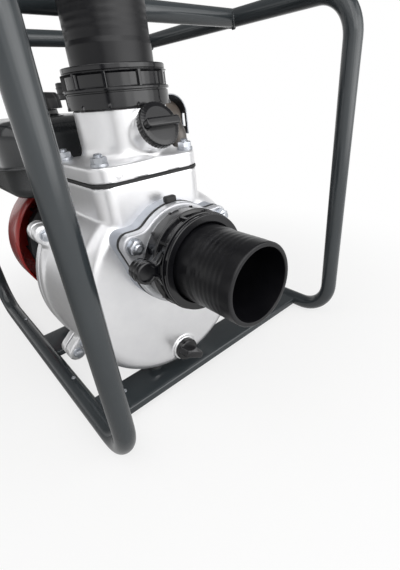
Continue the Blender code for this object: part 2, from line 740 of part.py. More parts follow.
def build_casing(cast, rubber, plastic):
    """Hollow casing with its pad, lugs, foot and drain, and the seal behind it."""
    arc_steps = [k * pi / 2 / CORNER_STEPS for k in range(CORNER_STEPS + 1)]
    rings = [casing_ring(0, 0)]
    rings += [casing_ring(CASING_FILLET * (1 - cos(t)), CASING_DEPTH - CASING_FILLET * (1 - sin(t)))
              for t in arc_steps]
    casing = make("pump_casing", loft(rings), cast, (SUCTION_X, CASING_REAR_Y, CRANK_Z), FRONT)
    pad = prism(flange_outline(), CASING_DEPTH - CASING_WALL, CASING_DEPTH + PAD_HEIGHT)
    join(casing, shifted(pad, y=CRANK_DROP))
    join(casing, casing_lugs(0, CASING_LUG_LENGTH))
    boss_height = CASING_DEPTH + CASING_WALL / 2
    boss_root = CASING_DEPTH - CASING_FILLET
    join(casing, rod(DRAIN_BOSS_RADIUS, boss_root, boss_height, INNER_ROUND, (0, -DRAIN_DROP)))
    foot_middle = CASING_REAR_Y - FOOT_Y
    foot = rectangle(FOOT_WIDTH, FOOT_DEPTH, FOOT_CORNER, SMALL_STEPS, (0, -foot_middle))
    foot_shape = moved(prism(foot, -FOOT_DROP, FOOT_HEIGHT - FOOT_DROP), Matrix.Rotation(-pi / 2, 4, "X"))
    join(casing, foot_shape)
    inside = CASING_RADIUS - CASING_WALL
    front = CASING_DEPTH - CASING_FRONT_WALL
    chamfer = CASING_FILLET / 2
    room = turned([(inside, -CUT), (inside, front - chamfer), (inside - chamfer, front)], ROUND)
    cut(casing, room)
    neck_room = rectangle(NECK_WIDTH - 2 * CASING_WALL, front - CASING_WALL, CASING_FILLET / 2, CORNER_STEPS,
                          (NECK_SHIFT, -(front + CASING_WALL) / 2))
    neck_top = CRANK_DROP + NECK_TOP + CUT
    cut(casing, moved(prism(neck_room, 0, neck_top), Matrix.Rotation(-pi / 2, 4, "X")))
    cut(casing, rod(VALVE_BORE, front - CUT, CASING_DEPTH + PAD_HEIGHT + CUT, ROUND, (0, CRANK_DROP)))
    drain_hole = DRAIN_SHANK_RADIUS + GAP
    cut(casing, rod(drain_hole, front - 2 * CUT, CASING_DEPTH + 2 * CUT, SMALL_ROUND, (0, -DRAIN_DROP)))
    pad_top = CASING_DEPTH + PAD_HEIGHT
    cut(casing, gathered([rod(STUD_RADIUS + GAP, pad_top - STUD_DEPTH, pad_top + CUT, SMALL_ROUND,
                              (x, y + CRANK_DROP)) for x, y in ear_centres()]))
    build_drain_plug(plastic, CASING_REAR_Y - boss_height - GAP)
    seal = [(inside, 0), (CASING_RADIUS, 0), (CASING_RADIUS, SEAL_THICKNESS), (inside, SEAL_THICKNESS)]
    make("casing_seal", turned(seal, ROUND, bored=True), rubber,
         (SUCTION_X, CASING_REAR_Y + GAP + SEAL_THICKNESS, CRANK_Z), FRONT)


def build_drain_plug(plastic, seat_y):
    """Screw plug with a round head and a flat finger grip."""
    shank = 2 * CASING_WALL
    head = DRAIN_HEAD_HEIGHT
    profile = [(DRAIN_SHANK_RADIUS, -shank), (DRAIN_SHANK_RADIUS, 0), (DRAIN_HEAD_RADIUS, 0),
               (DRAIN_HEAD_RADIUS, head), (DRAIN_HEAD_RADIUS - DRAIN_HEAD_BEVEL, head + DRAIN_CROWN)]
    plug = make("drain_plug", turned(profile, SMALL_ROUND), plastic,
                (SUCTION_X, seat_y, CRANK_Z - DRAIN_DROP), FRONT)
    side, top, half = DRAIN_GRIP_HALF, head + DRAIN_GRIP, DRAIN_GRIP_THICKNESS / 2
    grip = filleted([(-side, head / 2, 0), (side, head / 2, 0), (side, top, DRAIN_GRIP_CORNER),
                     (-side, top, DRAIN_GRIP_CORNER)])
    blade = moved(prism(grip, -half, half), Matrix.Rotation(pi / 2, 4, "X"))
    join(plug, moved(blade, Matrix.Rotation(DRAIN_GRIP_TURN, 4, "Z")))


def coupling(prefix, place, turn, grip_angle, plastic, rubber):
    """Hose coupling on a threaded spigot: sealing washer, ring with a grip lug, and hose tail."""
    bore = HOSE_BORE / 2
    inner = SPIGOT_RADIUS + 2 * GAP
    lip_bore = TAIL_ROOT_RADIUS + 2 * GAP
    washer_end = WASHER_START + WASHER_THICKNESS
    washer = [(bore, WASHER_START), (SPIGOT_RADIUS - GAP, WASHER_START),
              (SPIGOT_RADIUS - GAP, washer_end), (bore, washer_end)]
    make(f"{prefix}_washer", turned(washer, INNER_ROUND, bored=True), rubber, place, turn)

    ridge_end = RIDGE_START + RIDGE_WIDTH
    rim = RING_FRONT - RING_EDGE
    groove = RING_BAND_RADIUS - RING_GROOVE_DEPTH
    band_end = RIDGE_START - RING_GROOVE_WIDTH
    profile = [(inner, GAP), (RING_BAND_RADIUS, GAP), (RING_BAND_RADIUS, band_end), (groove, band_end),
               (groove, RIDGE_START), (RING_RADIUS, RIDGE_START), (RING_RADIUS, ridge_end),
               (RING_BODY_RADIUS, ridge_end),
               (RING_BODY_RADIUS, rim), (RING_LIP_RADIUS, rim), (RING_LIP_RADIUS, RING_FRONT),
               (lip_bore, RING_FRONT), (lip_bore, LIP_START), (inner, LIP_START)]
    ring = make(f"{prefix}_ring", turned(profile, ROUND, bored=True), plastic, place, turn)
    root = (inner + RING_BAND_RADIUS) / 2
    neck_x = RING_RADIUS + GRIP_NECK_OUT
    grip = [(root, GRIP_ROOT), (neck_x, GRIP_NECK),
            *arc((GRIP_REACH, 0), GRIP_ROUND, GRIP_WRAP, -GRIP_WRAP, GRIP_STEPS),
            (neck_x, -GRIP_NECK), (root, -GRIP_ROOT)]
    grip_shape = prism(grip, GRIP_START, GRIP_START + GRIP_DEPTH)
    join(ring, moved(grip_shape, Matrix.Rotation(grip_angle, 4, "Z")))

    radius = HOSE_DIAMETER / 2
    pitch = BARB_ZONE / BARB_COUNT
    first = MOUTH_START - BARB_ZONE - MOUTH_BAND
    tail = [(bore, COLLAR_START), (SPIGOT_RADIUS, COLLAR_START), (SPIGOT_RADIUS, LIP_START - GAP),
            (TAIL_ROOT_RADIUS, LIP_START - GAP), (TAIL_ROOT_RADIUS, first)]
    for k in range(BARB_COUNT):
        start = first + k * pitch
        tail += [(radius, start + BARB_STEP), (radius + BARB_HEIGHT, start + pitch)]
    tail += [(radius, first + BARB_ZONE + BARB_STEP), (radius, MOUTH_START - MOUTH_CHAMFER),
             (radius - MOUTH_CHAMFER, MOUTH_START), (bore, MOUTH_START)]
    make(f"{prefix}_tail", turned(tail, ROUND, bored=True), plastic, place, turn)


def nut_levels(seat):
    """Washer, nut and stud tip stacked up from a seat."""
    washer_top = seat + NUT_WASHER_THICKNESS
    nut_top = washer_top + NUT_HEIGHT
    washer, nut, tip = circle(NUT_WASHER_RADIUS, HEX_RING), hexagon(NUT_WIDTH), circle(STUD_RADIUS, HEX_RING)
    return [(washer, seat), (washer, washer_top), (nut, washer_top), (nut, nut_top), (tip, nut_top),
            (tip, nut_top + STUD_TIP)]


def build_suction(cast, steel, rubber, plastic):
    """Suction flange with its gasket, studs, check valve and hose coupling."""
    place = (SUCTION_X, FLANGE_SEAT_Y, SUCTION_Z)
    shoulder = FLANGE_THICKNESS + SHOULDER_HEIGHT
    flange = make("suction_flange", prism(flange_outline(), 0, FLANGE_THICKNESS), cast, place, FRONT)
    hub = [(SHOULDER_RADIUS, FLANGE_THICKNESS / 2), (SHOULDER_RADIUS + SHOULDER_FILLET, FLANGE_THICKNESS),
           (SHOULDER_RADIUS, FLANGE_THICKNESS + SHOULDER_FILLET), (SHOULDER_RADIUS, shoulder),
           (SPIGOT_RADIUS, shoulder), (SPIGOT_RADIUS, shoulder + SPIGOT_LENGTH)]
    join(flange, turned(hub, ROUND))
    cut(flange, rod(HOSE_BORE / 2, -CUT, shoulder + SPIGOT_LENGTH + CUT, ROUND))
    stud_hole = STUD_RADIUS + GAP
    cut(flange, gathered([rod(stud_hole, -CUT, shoulder + CUT, SMALL_ROUND, ear) for ear in ear_centres()]))

    gasket_place = (SUCTION_X, FLANGE_SEAT_Y + GAP + GASKET_THICKNESS, SUCTION_Z)
    gasket = make("suction_gasket", prism(flange_outline(GASKET_LIP), 0, GASKET_THICKNESS), rubber,
                  gasket_place, FRONT)
    foot, top = FLANGE_RADIUS + 2 * GASKET_LIP, FLANGE_RADIUS + TAB_HEIGHT
    root = rectangle(TAB_ROOT_WIDTH, 2 * TAB_HEIGHT, 0, SMALL_STEPS, (0, FLANGE_RADIUS))
    join(gasket, prism(root, GAP, GASKET_THICKNESS - GAP))
    tab = filleted([(-TAB_WIDTH / 2, foot, 0), (TAB_WIDTH / 2, foot, 0), (TAB_WIDTH / 2, top, TAB_CORNER),
                    (-TAB_WIDTH / 2, top, TAB_CORNER)], SMALL_STEPS)
    middle = GASKET_THICKNESS / 2
    join(gasket, prism(tab, middle - TAB_DEPTH / 2, middle + TAB_DEPTH / 2))
    cut(gasket, rod(VALVE_BORE, -CUT, CUT, ROUND))
    cut(gasket, gathered([rod(stud_hole, -CUT, CUT, SMALL_ROUND, ear) for ear in ear_centres()]))

    for name, (x, y) in zip(("flange_stud_left", "flange_stud_right"), ear_centres()):
        tip = circle(STUD_RADIUS, HEX_RING)
        root = FLANGE_SEAT_Y - PAD_Y - STUD_DEPTH + GAP
        seat = FLANGE_THICKNESS + GAP
        make(name, stack([(tip, root), (tip, seat), *nut_levels(seat)]), steel,
             (SUCTION_X + x, FLANGE_SEAT_Y, SUCTION_Z + y), FRONT)
    build_flap(rubber)
    coupling_place = (SUCTION_X, FLANGE_SEAT_Y - shoulder, SUCTION_Z)
    coupling("suction", coupling_place, FRONT, SUCTION_GRIP_ANGLE, plastic, rubber)


def build_flap(rubber):
    """Check valve flap that hangs from its top edge behind the flange."""
    low = acos(FLAP_TONGUE / 2 / FLAP_RADIUS)
    outline = [*arc((0, -FLAP_HINGE), FLAP_RADIUS, pi - low, 2 * pi + low, ROUND),
               (FLAP_TONGUE / 2, 0), (-FLAP_TONGUE / 2, 0)]
    half = FLAP_THICKNESS / 2
    make("check_valve_flap", prism(outline, -half, half), rubber,
         (SUCTION_X, FLANGE_SEAT_Y + GAP + half, SUCTION_Z + FLAP_HINGE), FRONT)


def head_outline(grow=0.0):
    """Plan of the casing's neck, with its front corners rounded like the casing."""
    x, y = NECK_WIDTH / 2 + grow, CASING_DEPTH / 2 + grow
    return filleted([(x, -y, CASING_FILLET), (x, y, HEAD_REAR_CORNER), (-x, y, HEAD_REAR_CORNER),
                     (-x, -y, CASING_FILLET)], BEND_STEPS)


def priming_frame():
    """Frame of the priming boss: its axis leans forward out of the discharge neck."""
    rise = HEAD_HEIGHT + PRIMING_RISE
    return Matrix.Translation((-NECK_SHIFT, 0, rise)) @ Matrix.Rotation(PRIMING_TILT, 4, "X")


def build_discharge(cast, steel, rubber, plastic):
    """Gasket and head on top of the casing, with the discharge coupling and the priming cap."""
    gasket = make("top_gasket", prism(head_outline(GASKET_LIP), 0, GASKET_THICKNESS), rubber,
                  (NECK_X, NECK_Y, NECK_TOP_Z + GAP))
    opening = rectangle(NECK_WIDTH - 2 * HEAD_GASKET_BORDER, CASING_DEPTH - 2 * HEAD_GASKET_BORDER,
                        HEAD_GASKET_CORNER)
    cut(gasket, prism(opening, -CUT, CUT))
    bevel_start = HEAD_HEIGHT - HEAD_BEVEL
    head = make("discharge_head", stack([(head_outline(), 0), (head_outline(), bevel_start),
                                         (head_outline(-HEAD_BEVEL), HEAD_HEIGHT)]), cast,
                (NECK_X, NECK_Y, HEAD_Z))
    shoulder = HEAD_HEIGHT + DISCHARGE_NECK_HEIGHT
    neck = [(DISCHARGE_NECK_ROOT, HEAD_HEIGHT / 2), (DISCHARGE_NECK_ROOT, HEAD_HEIGHT),
            (SHOULDER_RADIUS, HEAD_HEIGHT + DISCHARGE_NECK_FILLET), (SHOULDER_RADIUS, shoulder),
            (SPIGOT_RADIUS, shoulder), (SPIGOT_RADIUS, shoulder + SPIGOT_LENGTH)]
    join(head, shifted(turned(neck, ROUND), x=-NECK_SHIFT))
    join(head, moved(rod(PRIMING_BOSS_RADIUS, PRIMING_ROOT, PRIMING_REACH), priming_frame()))
    cut(head, rod(HOSE_BORE / 2, -CUT, shoulder + SPIGOT_LENGTH + CUT, ROUND, (-NECK_SHIFT, 0)))
    hole = rod(PRIMING_SHANK_RADIUS + GAP, PRIMING_REACH - PRIMING_HOLE, PRIMING_REACH + CUT)
    cut(head, moved(hole, priming_frame()))
    x, y = NECK_WIDTH / 2 - HEAD_STUD_INSET, CASING_DEPTH / 2 - HEAD_STUD_INSET
    for k, (sx, sy) in enumerate(((-1, -1), (1, -1), (1, 1), (-1, 1))):
        make(f"head_stud_{k + 1}", stack(nut_levels(GAP)), steel,
             (NECK_X + sx * x, NECK_Y + sy * y, HEAD_Z + HEAD_HEIGHT))
    coupling("discharge", (SUCTION_X, NECK_Y, DISCHARGE_Z), UPRIGHT, DISCHARGE_GRIP_ANGLE, plastic, rubber)

    reach = PRIMING_REACH + GAP
    cap_place = Matrix.Translation((NECK_X, NECK_Y, HEAD_Z)) @ priming_frame() @ Vector((0, 0, reach))
    rim = PRIMING_CAP_HEIGHT - PRIMING_CAP_BEVEL
    profile = [(PRIMING_SHANK_RADIUS, -PRIMING_SHANK), (PRIMING_SHANK_RADIUS, 0), (PRIMING_CAP_RADIUS, 0),
               (PRIMING_CAP_RADIUS, rim), (PRIMING_CAP_RADIUS - PRIMING_CAP_BEVEL, PRIMING_CAP_HEIGHT)]
    cap = make("priming_cap", turned(profile, INNER_ROUND), plastic, cap_place, (PRIMING_TILT, 0, 0))
    grip = rectangle(PRIMING_GRIP_WIDTH, PRIMING_GRIP_THICKNESS, PRIMING_GRIP_CORNER, SMALL_STEPS)
    join(cap, prism(grip, PRIMING_CAP_HEIGHT / 2, PRIMING_GRIP_HEIGHT))


def build_pump_inside(cast, iron, steel, rubber):
    """Rear cover, volute, impeller and shaft seal."""
    cover_place = (SUCTION_X, COVER_Y, CRANK_Z)
    rim = CASING_RADIUS
    profile = [(SEAL_RADIUS + GAP, 0), (rim, 0), (rim, -COVER_RIM),
               (COVER_HUB_RADIUS + COVER_FLARE, -COVER_RIM - COVER_STEP), (COVER_HUB_RADIUS, -COVER_DEPTH),
               (COVER_BORE, -COVER_DEPTH), (COVER_BORE, -SEAL_POCKET), (SEAL_RADIUS + GAP, -SEAL_POCKET)]
    cover = make("rear_cover", turned(profile, ROUND, bored=True), cast, cover_place, FRONT)
    join(cover, casing_lugs(-COVER_RIM, -COVER_LUG_SETBACK))

    turns = [k / VOLUTE_STEPS for k in range(VOLUTE_STEPS + 1)]
    spiral = [(pi / 2 - 2 * pi * t, VOLUTE_START + VOLUTE_GROWTH * t) for t in turns]
    outer = [(r * cos(a), r * sin(a)) for a, r in spiral]
    inner = [((r - VOLUTE_WALL) * cos(a), (r - VOLUTE_WALL) * sin(a)) for a, r in spiral]
    volute = make("volute", prism(outer, GAP, VOLUTE_DEPTH), iron, cover_place, FRONT)
    cut(volute, prism(inner, -CUT, VOLUTE_DEPTH - VOLUTE_WALL))
    cut(volute, rod(VOLUTE_EYE, CUT, VOLUTE_DEPTH + CUT, ROUND))
    height = VOLUTE_START + VOLUTE_GROWTH + CUT
    outlet = rectangle(2 * VOLUTE_PORT, height, 0, SMALL_STEPS,
                       (-2 * VOLUTE_PORT, VOLUTE_START + height / 2 - VOLUTE_PORT_DIP))
    cut(volute, prism(outlet, VOLUTE_PORT_FLOOR, VOLUTE_DEPTH - VOLUTE_WALL - VOLUTE_PORT_ROOF))

    disc_top = IMPELLER_CLEARANCE + IMPELLER_DISC
    hub = disc_top + IMPELLER_HUB_HEIGHT
    profile = [(SHAFT_RADIUS + GAP, IMPELLER_CLEARANCE), (IMPELLER_RADIUS, IMPELLER_CLEARANCE),
               (IMPELLER_RADIUS, disc_top), (IMPELLER_HUB, disc_top),
               (IMPELLER_HUB - IMPELLER_HUB_TAPER, hub), (SHAFT_RADIUS + GAP, hub)]
    impeller = make("impeller", turned(profile, ROUND, bored=True), iron, cover_place, FRONT)
    join(impeller, gathered([vane(k * 2 * pi / VANE_COUNT, disc_top) for k in range(VANE_COUNT)]))

    nose = IMPELLER_CLEARANCE - GAP
    profile = [(SHAFT_RADIUS + GAP, nose), (SEAL_RADIUS - SEAL_NOSE, nose), (SEAL_RADIUS, 0),
               (SEAL_RADIUS, GAP - SEAL_POCKET), (SHAFT_RADIUS + GAP, GAP - SEAL_POCKET)]
    make("shaft_seal", turned(profile, INNER_ROUND, bored=True), rubber, cover_place, FRONT)

    engine_step = COVER_Y - ENGINE_Y
    back = COVER_Y - BLOCK_Y - CRANKCASE_DEPTH
    tail = COVER_Y - ENGINE_Y - FLYWHEEL_PLACE - FLYWHEEL_THICKNESS - CRANK_TAIL
    wheel = COVER_Y - ENGINE_Y - FLYWHEEL_PLACE + FLYWHEEL_SHOULDER
    profile = [(SHAFT_RADIUS, hub + SHAFT_NOSE), (SHAFT_RADIUS, engine_step), (CRANK_RADIUS, engine_step),
               (CRANK_RADIUS, min(back, wheel)), (FLYWHEEL_BORE - GAP, min(back, wheel)),
               (FLYWHEEL_BORE - GAP, tail)]
    make("crankshaft", turned(profile, INNER_ROUND), steel, cover_place, FRONT)


def vane(start, base):
    """Curved impeller vane on a logarithmic spiral from the hub to the rim."""
    inner, outer = IMPELLER_HUB - VANE_ROOT, IMPELLER_RADIUS - VANE_TIP
    steps = [k / VANE_STEPS for k in range(VANE_STEPS + 1)]
    line = [(inner * (outer / inner) ** t, start + VANE_SWEEP * t) for t in steps]
    half = VANE_THICKNESS / 2
    lead = [(r * cos(a + half / r), r * sin(a + half / r)) for r, a in line]
    trail = [(r * cos(a - half / r), r * sin(a - half / r)) for r, a in reversed(line)]
    return prism(lead + trail, base - IMPELLER_DISC / 2, base + VANE_HEIGHT)


def fin_levels(start, count, half_width, half_depth):
    """Cooling fins round a core, as levels up the cylinder's axis."""
    fin = rectangle(2 * half_width, 2 * half_depth, FIN_CORNER, 1)
    core = rectangle(2 * half_width * FIN_CORE, 2 * half_depth * FIN_CORE, FIN_CORNER, 1)
    levels = []
    for k in range(count):
        foot = start + k * FIN_PITCH
        under = foot + FIN_PITCH - FIN_THICKNESS
        levels += [(core, foot), (core, under), (fin, under), (fin, foot + FIN_PITCH)]
    return levels


def cylinder_point(along, across=0.0, depth=0.0):
    """World point on the tilted cylinder: along its axis, up across it, and back from its middle."""
    tilt = Matrix.Rotation(CYLINDER_TILT, 4, "Y")
    return Vector((SUCTION_X, CYLINDER_Y, CRANK_Z)) + tilt @ Vector((-across, depth, along))


def build_engine(cast, steel, plastic, ceramic):
    """Cylinder block with its covers, head, spark plug and dipstick."""
    side_place = (SUCTION_X, ENGINE_Y + SIDE_COVER_DEPTH, CRANK_Z)
    profile = [(CRANK_RADIUS + GAP, 0), (SIDE_COVER_RADIUS, 0), (SIDE_COVER_RADIUS, SIDE_COVER_RIM),
               (SIDE_COVER_WAIST, SIDE_COVER_RIM + SIDE_COVER_STEP), (SIDE_COVER_HUB, SIDE_COVER_DEPTH),
               (CRANK_RADIUS + GAP, SIDE_COVER_DEPTH)]
    make("side_cover", turned(profile, ROUND, bored=True), cast, side_place, FRONT)

    base, foot = BASE_WIDTH / 2, BASE_HEIGHT - BASE_DROP
    slope = foot + BASE_SLOPE
    outline = [(-base, -BASE_DROP), (base, -BASE_DROP), (base, foot), (CRANKCASE_WAIST, slope),
               *arc((0, 0), CRANKCASE_RADIUS, -CRANKCASE_WRAP, pi + CRANKCASE_WRAP, INNER_ROUND),
               (-CRANKCASE_WAIST, slope), (-base, foot)]
    block = make("cylinder_block", prism(outline, -CRANKCASE_DEPTH, 0), cast,
                 (SUCTION_X, BLOCK_Y, CRANK_Z), FRONT)
    barrel = stack([(rectangle(2 * FIN_HALF_WIDTH * FIN_CORE, 2 * FIN_HALF_DEPTH * FIN_CORE,
                               FIN_CORNER, 1), BARREL_ROOT),
                    *fin_levels(FIN_START, FIN_COUNT, FIN_HALF_WIDTH, FIN_HALF_DEPTH)])
    to_front = Matrix.Rotation(-pi / 2, 4, "X")
    to_block = Matrix.Translation((0, 0, BLOCK_Y - CYLINDER_Y)) @ to_front
    join(block, moved(barrel, to_block @ Matrix.Rotation(CYLINDER_TILT, 4, "Y")))
    filler = to_block @ dipstick_frame()
    join(block, moved(rod(DIPSTICK_RADIUS, -DIPSTICK_BOSS, DIPSTICK_BOSS), filler))
    filler_hole = rod(DIPSTICK_RADIUS / 2 + GAP, -DIPSTICK_REACH, DIPSTICK_BOSS + CUT, SMALL_ROUND)
    cut(block, moved(filler_hole, filler))
    cut(block, rod(BLOCK_BORE, -CRANKCASE_DEPTH - CUT, CUT, ROUND))

    tilt = (0, CYLINDER_TILT, 0)
    place = (SUCTION_X, CYLINDER_Y, CRANK_Z)
    make("cylinder_head", stack(fin_levels(HEAD_START, HEAD_FIN_COUNT, FIN_HALF_WIDTH, FIN_HALF_DEPTH)), cast,
         place, tilt)
    rocker_top = ROCKER_START + ROCKER_HEIGHT
    flange_top = ROCKER_START + ROCKER_FLANGE_THICKNESS
    rocker = [(ROCKER_FLANGE, ROCKER_START), (ROCKER_FLANGE, flange_top), (0, flange_top),
              (-ROCKER_DRAFT, rocker_top - ROCKER_CROWN), (-ROCKER_TOP_INSET, rocker_top)]
    levels = [(rectangle(2 * (ROCKER_HALF_WIDTH + grow), 2 * (ROCKER_HALF_DEPTH + grow), ROCKER_CORNER), z)
              for grow, z in rocker]
    make("rocker_cover", stack(levels), steel, place, tilt)

    head_middle = (HEAD_START + ROCKER_START) / 2
    plug_depth = FIN_HALF_DEPTH - PLUG_HEX_RADIUS - PLUG_MARGIN
    seat = cylinder_point(head_middle, FIN_HALF_WIDTH + GAP, plug_depth)
    seat_ring, core, tip = (circle(r, HEX_RING) for r in (PLUG_HEX_RADIUS, PLUG_CORE, PLUG_TIP))
    terminal, hexagonal = circle(PLUG_TERMINAL_RADIUS, HEX_RING), hexagon(PLUG_HEX_WIDTH)
    insulator_top = PLUG_LENGTH - PLUG_TERMINAL
    plug = stack([(seat_ring, 0), (seat_ring, PLUG_SEAT), (hexagonal, PLUG_SEAT), (hexagonal, PLUG_HEX_TOP),
                  (core, PLUG_HEX_TOP), (tip, insulator_top), (terminal, insulator_top),
                  (terminal, PLUG_LENGTH)])
    make("spark_plug", plug, ceramic, seat, (0, CYLINDER_TILT - pi / 2, 0))

    cap = [(DIPSTICK_RADIUS / 2, GAP - DIPSTICK_REACH), (DIPSTICK_RADIUS / 2, DIPSTICK_BOSS + GAP),
           (DIPSTICK_RADIUS, DIPSTICK_BOSS + GAP), (DIPSTICK_CAP_RADIUS, DIPSTICK_BOSS + DIPSTICK_CAP_EDGE),
           (DIPSTICK_RADIUS, DIPSTICK_BOSS + DIPSTICK_CAP_HEIGHT)]
    frame = Matrix.Translation((SUCTION_X, CYLINDER_Y, CRANK_Z)) @ dipstick_frame()
    make("dipstick", turned(cap, INNER_ROUND), plastic, frame.translation, frame.to_euler())


def dipstick_frame():
    """Frame of the oil filler: low on the block's left side, leaning out."""
    outwards = Matrix.Rotation(DIPSTICK_LEAN, 4, "Y")
    return Matrix.Translation((-DIPSTICK_SIDE, 0, -DIPSTICK_DROP)) @ outwards


def build_starter(paint, steel, plastic):
    """Flywheel with its fan, the shroud round it, and the recoil starter behind."""
    wheel_place = (SUCTION_X, ENGINE_Y + FLYWHEEL_PLACE, CRANK_Z)
    profile = [(FLYWHEEL_BORE, 0), (FLYWHEEL_RADIUS, 0), (FLYWHEEL_RADIUS, -FLYWHEEL_THICKNESS),
               (FLYWHEEL_BORE, -FLYWHEEL_THICKNESS)]
    wheel = make("flywheel", turned(profile, ROUND, bored=True), steel, wheel_place, FRONT)
    hub, tip = FAN_HUB, FLYWHEEL_RADIUS - FAN_MARGIN
    blades = []
    for k in range(FAN_BLADES):
        angle = 2 * pi * k / FAN_BLADES
        foot, end = FAN_BLADE_THICKNESS / hub, FAN_BLADE_THICKNESS / 2 / tip
        corners = ((hub, angle - foot), (tip, angle - end), (tip, angle + end), (hub, angle + foot))
        blades += [(r * cos(a), r * sin(a)) for r, a in corners]
    join(wheel, prism(blades, -FLYWHEEL_THICKNESS - FAN_HEIGHT, -FLYWHEEL_THICKNESS / 2))
    disc = -FLYWHEEL_THICKNESS
    fan_end = disc - FAN_HEIGHT - CUT
    eye = [(FAN_EYE, fan_end), (FAN_EYE, disc), (FLYWHEEL_BORE, disc), (FLYWHEEL_BORE, CUT)]
    cut(wheel, turned(eye, ROUND))

    shroud = make("fan_shroud", prism(shroud_outline(0), -SHROUD_DEPTH, 0), paint,
                  (SUCTION_X, SHROUD_Y, CRANK_Z), FRONT)
    cut(shroud, prism(shroud_outline(SHROUD_WALL), SHROUD_WALL - SHROUD_DEPTH, CUT))
    cut(shroud, rod(SHROUD_INLET, -SHROUD_DEPTH - CUT, CUT, ROUND))

    recoil_place = (SUCTION_X, RECOIL_Y, CRANK_Z)
    wall = SHROUD_WALL
    back = -RECOIL_DEPTH
    side = RECOIL_RADIUS - RECOIL_SIDE_INSET
    rim = RECOIL_RADIUS - RECOIL_RIM_STEP
    face = RECOIL_RADIUS - RECOIL_FACE_INSET
    shoulder = back + RECOIL_SHOULDER
    dome = [(RECOIL_RADIUS, 0), (RECOIL_RADIUS, -RECOIL_RIM), (rim, -RECOIL_RIM_STEP), (side, shoulder),
            (face, back)]
    recoil = make("recoil_cover", turned(dome, ROUND), paint, recoil_place, FRONT)
    cut(recoil, turned([(rim - wall, CUT), (side - wall, shoulder), (face - wall / 2, back + wall)], ROUND))
    join(recoil, rod(PULLEY_PIN, back + wall / 2, -CUT))
    middle = (RECOIL_SLOT_START + RECOIL_SLOT_END) / 2
    slots = []
    for k in range(RECOIL_SLOTS):
        slot = rectangle(RECOIL_SLOT_END - RECOIL_SLOT_START, RECOIL_SLOT_WIDTH, 0, 1, (middle, 0))
        slots.append(moved(prism(slot, back - CUT, back + 2 * wall),
                           Matrix.Rotation(2 * pi * (k + 0.5) / RECOIL_SLOTS, 4, "Z")))
    cut(recoil, gathered(slots))
    guide = handle_frame()
    join(recoil, moved(rod(HANDLE_STEM / 2 + GUIDE_WALL, -GUIDE_LENGTH, 0), guide))

    bore = PULLEY_PIN + GAP
    front, end = -PULLEY_FRONT, -PULLEY_FRONT - PULLEY_WIDTH
    spool = [(bore, front), (PULLEY_RADIUS, front), (PULLEY_RADIUS, front - PULLEY_FLANK),
             (PULLEY_GROOVE, front - PULLEY_FLANK), (PULLEY_GROOVE, end + PULLEY_FLANK),
             (PULLEY_RADIUS, end + PULLEY_FLANK), (PULLEY_RADIUS, end), (bore, end)]
    make("recoil_pulley", turned(spool, INNER_ROUND, bored=True), plastic, recoil_place, FRONT)

    frame = Matrix.Translation(recoil_place) @ Matrix.Rotation(pi / 2, 4, "X") @ guide
    seat = frame @ Vector((0, 0, GAP))
    stem = [(HANDLE_STEM / 2, 0), (HANDLE_STEM / 2 - HANDLE_STEM_TAPER, HANDLE_STEM_LENGTH)]
    handle = make("recoil_handle", turned(stem, SMALL_ROUND), plastic, seat, frame.to_euler())
    tip = HANDLE_WIDTH / 2
    grip = [(HANDLE_END_RADIUS, -tip), (HANDLE_RADIUS, HANDLE_END - tip), (HANDLE_WAIST, 0),
            (HANDLE_RADIUS, tip - HANDLE_END), (HANDLE_END_RADIUS, tip)]
    bar = moved(turned(grip, SMALL_ROUND), Matrix.Rotation(pi / 2, 4, "Y"))
    join(handle, shifted(bar, z=HANDLE_RISE))

    corner = SHROUD_RADIUS - SWITCH_INSET
    switch_place = (SUCTION_X + corner, SHROUD_Y + SHROUD_DEPTH, CRANK_Z + corner)
    knob = [(SWITCH_RADIUS, -GAP), (SWITCH_RADIUS, -SWITCH_RIM), (SWITCH_TOP_RADIUS, -SWITCH_HEIGHT)]
    switch = make("engine_switch", turned(knob, INNER_ROUND), plastic, switch_place, FRONT)
    bar = rectangle(SWITCH_BAR_LENGTH, SWITCH_BAR_WIDTH, SWITCH_BAR_CORNER, 1)
    join(switch, prism(bar, -SWITCH_HEIGHT - SWITCH_BAR_HEIGHT, -SWITCH_HEIGHT / 2))


def handle_frame():
    """Frame of the starter grip: up and to the right of the recoil cover, pulled up and back."""
    place = Matrix.Translation((HANDLE_CIRCLE * cos(HANDLE_ANGLE), HANDLE_CIRCLE * sin(HANDLE_ANGLE),
                                GUIDE_SINK - RECOIL_DEPTH))
    return place @ Matrix.Rotation(HANDLE_LEAN, 4, "X")


def shroud_outline(inset):
    """Round fan housing with a square air duct towards the cylinder, drawn in by an inset."""
    radius = SHROUD_RADIUS - inset
    duct = filleted([(radius, 0, 0), (radius, radius, SHROUD_CORNER), (0, radius, 0)], BEND_STEPS)
    return [*arc((0, 0), radius, pi / 2, 2 * pi, SHROUD_STEPS), *duct[1:-1]]


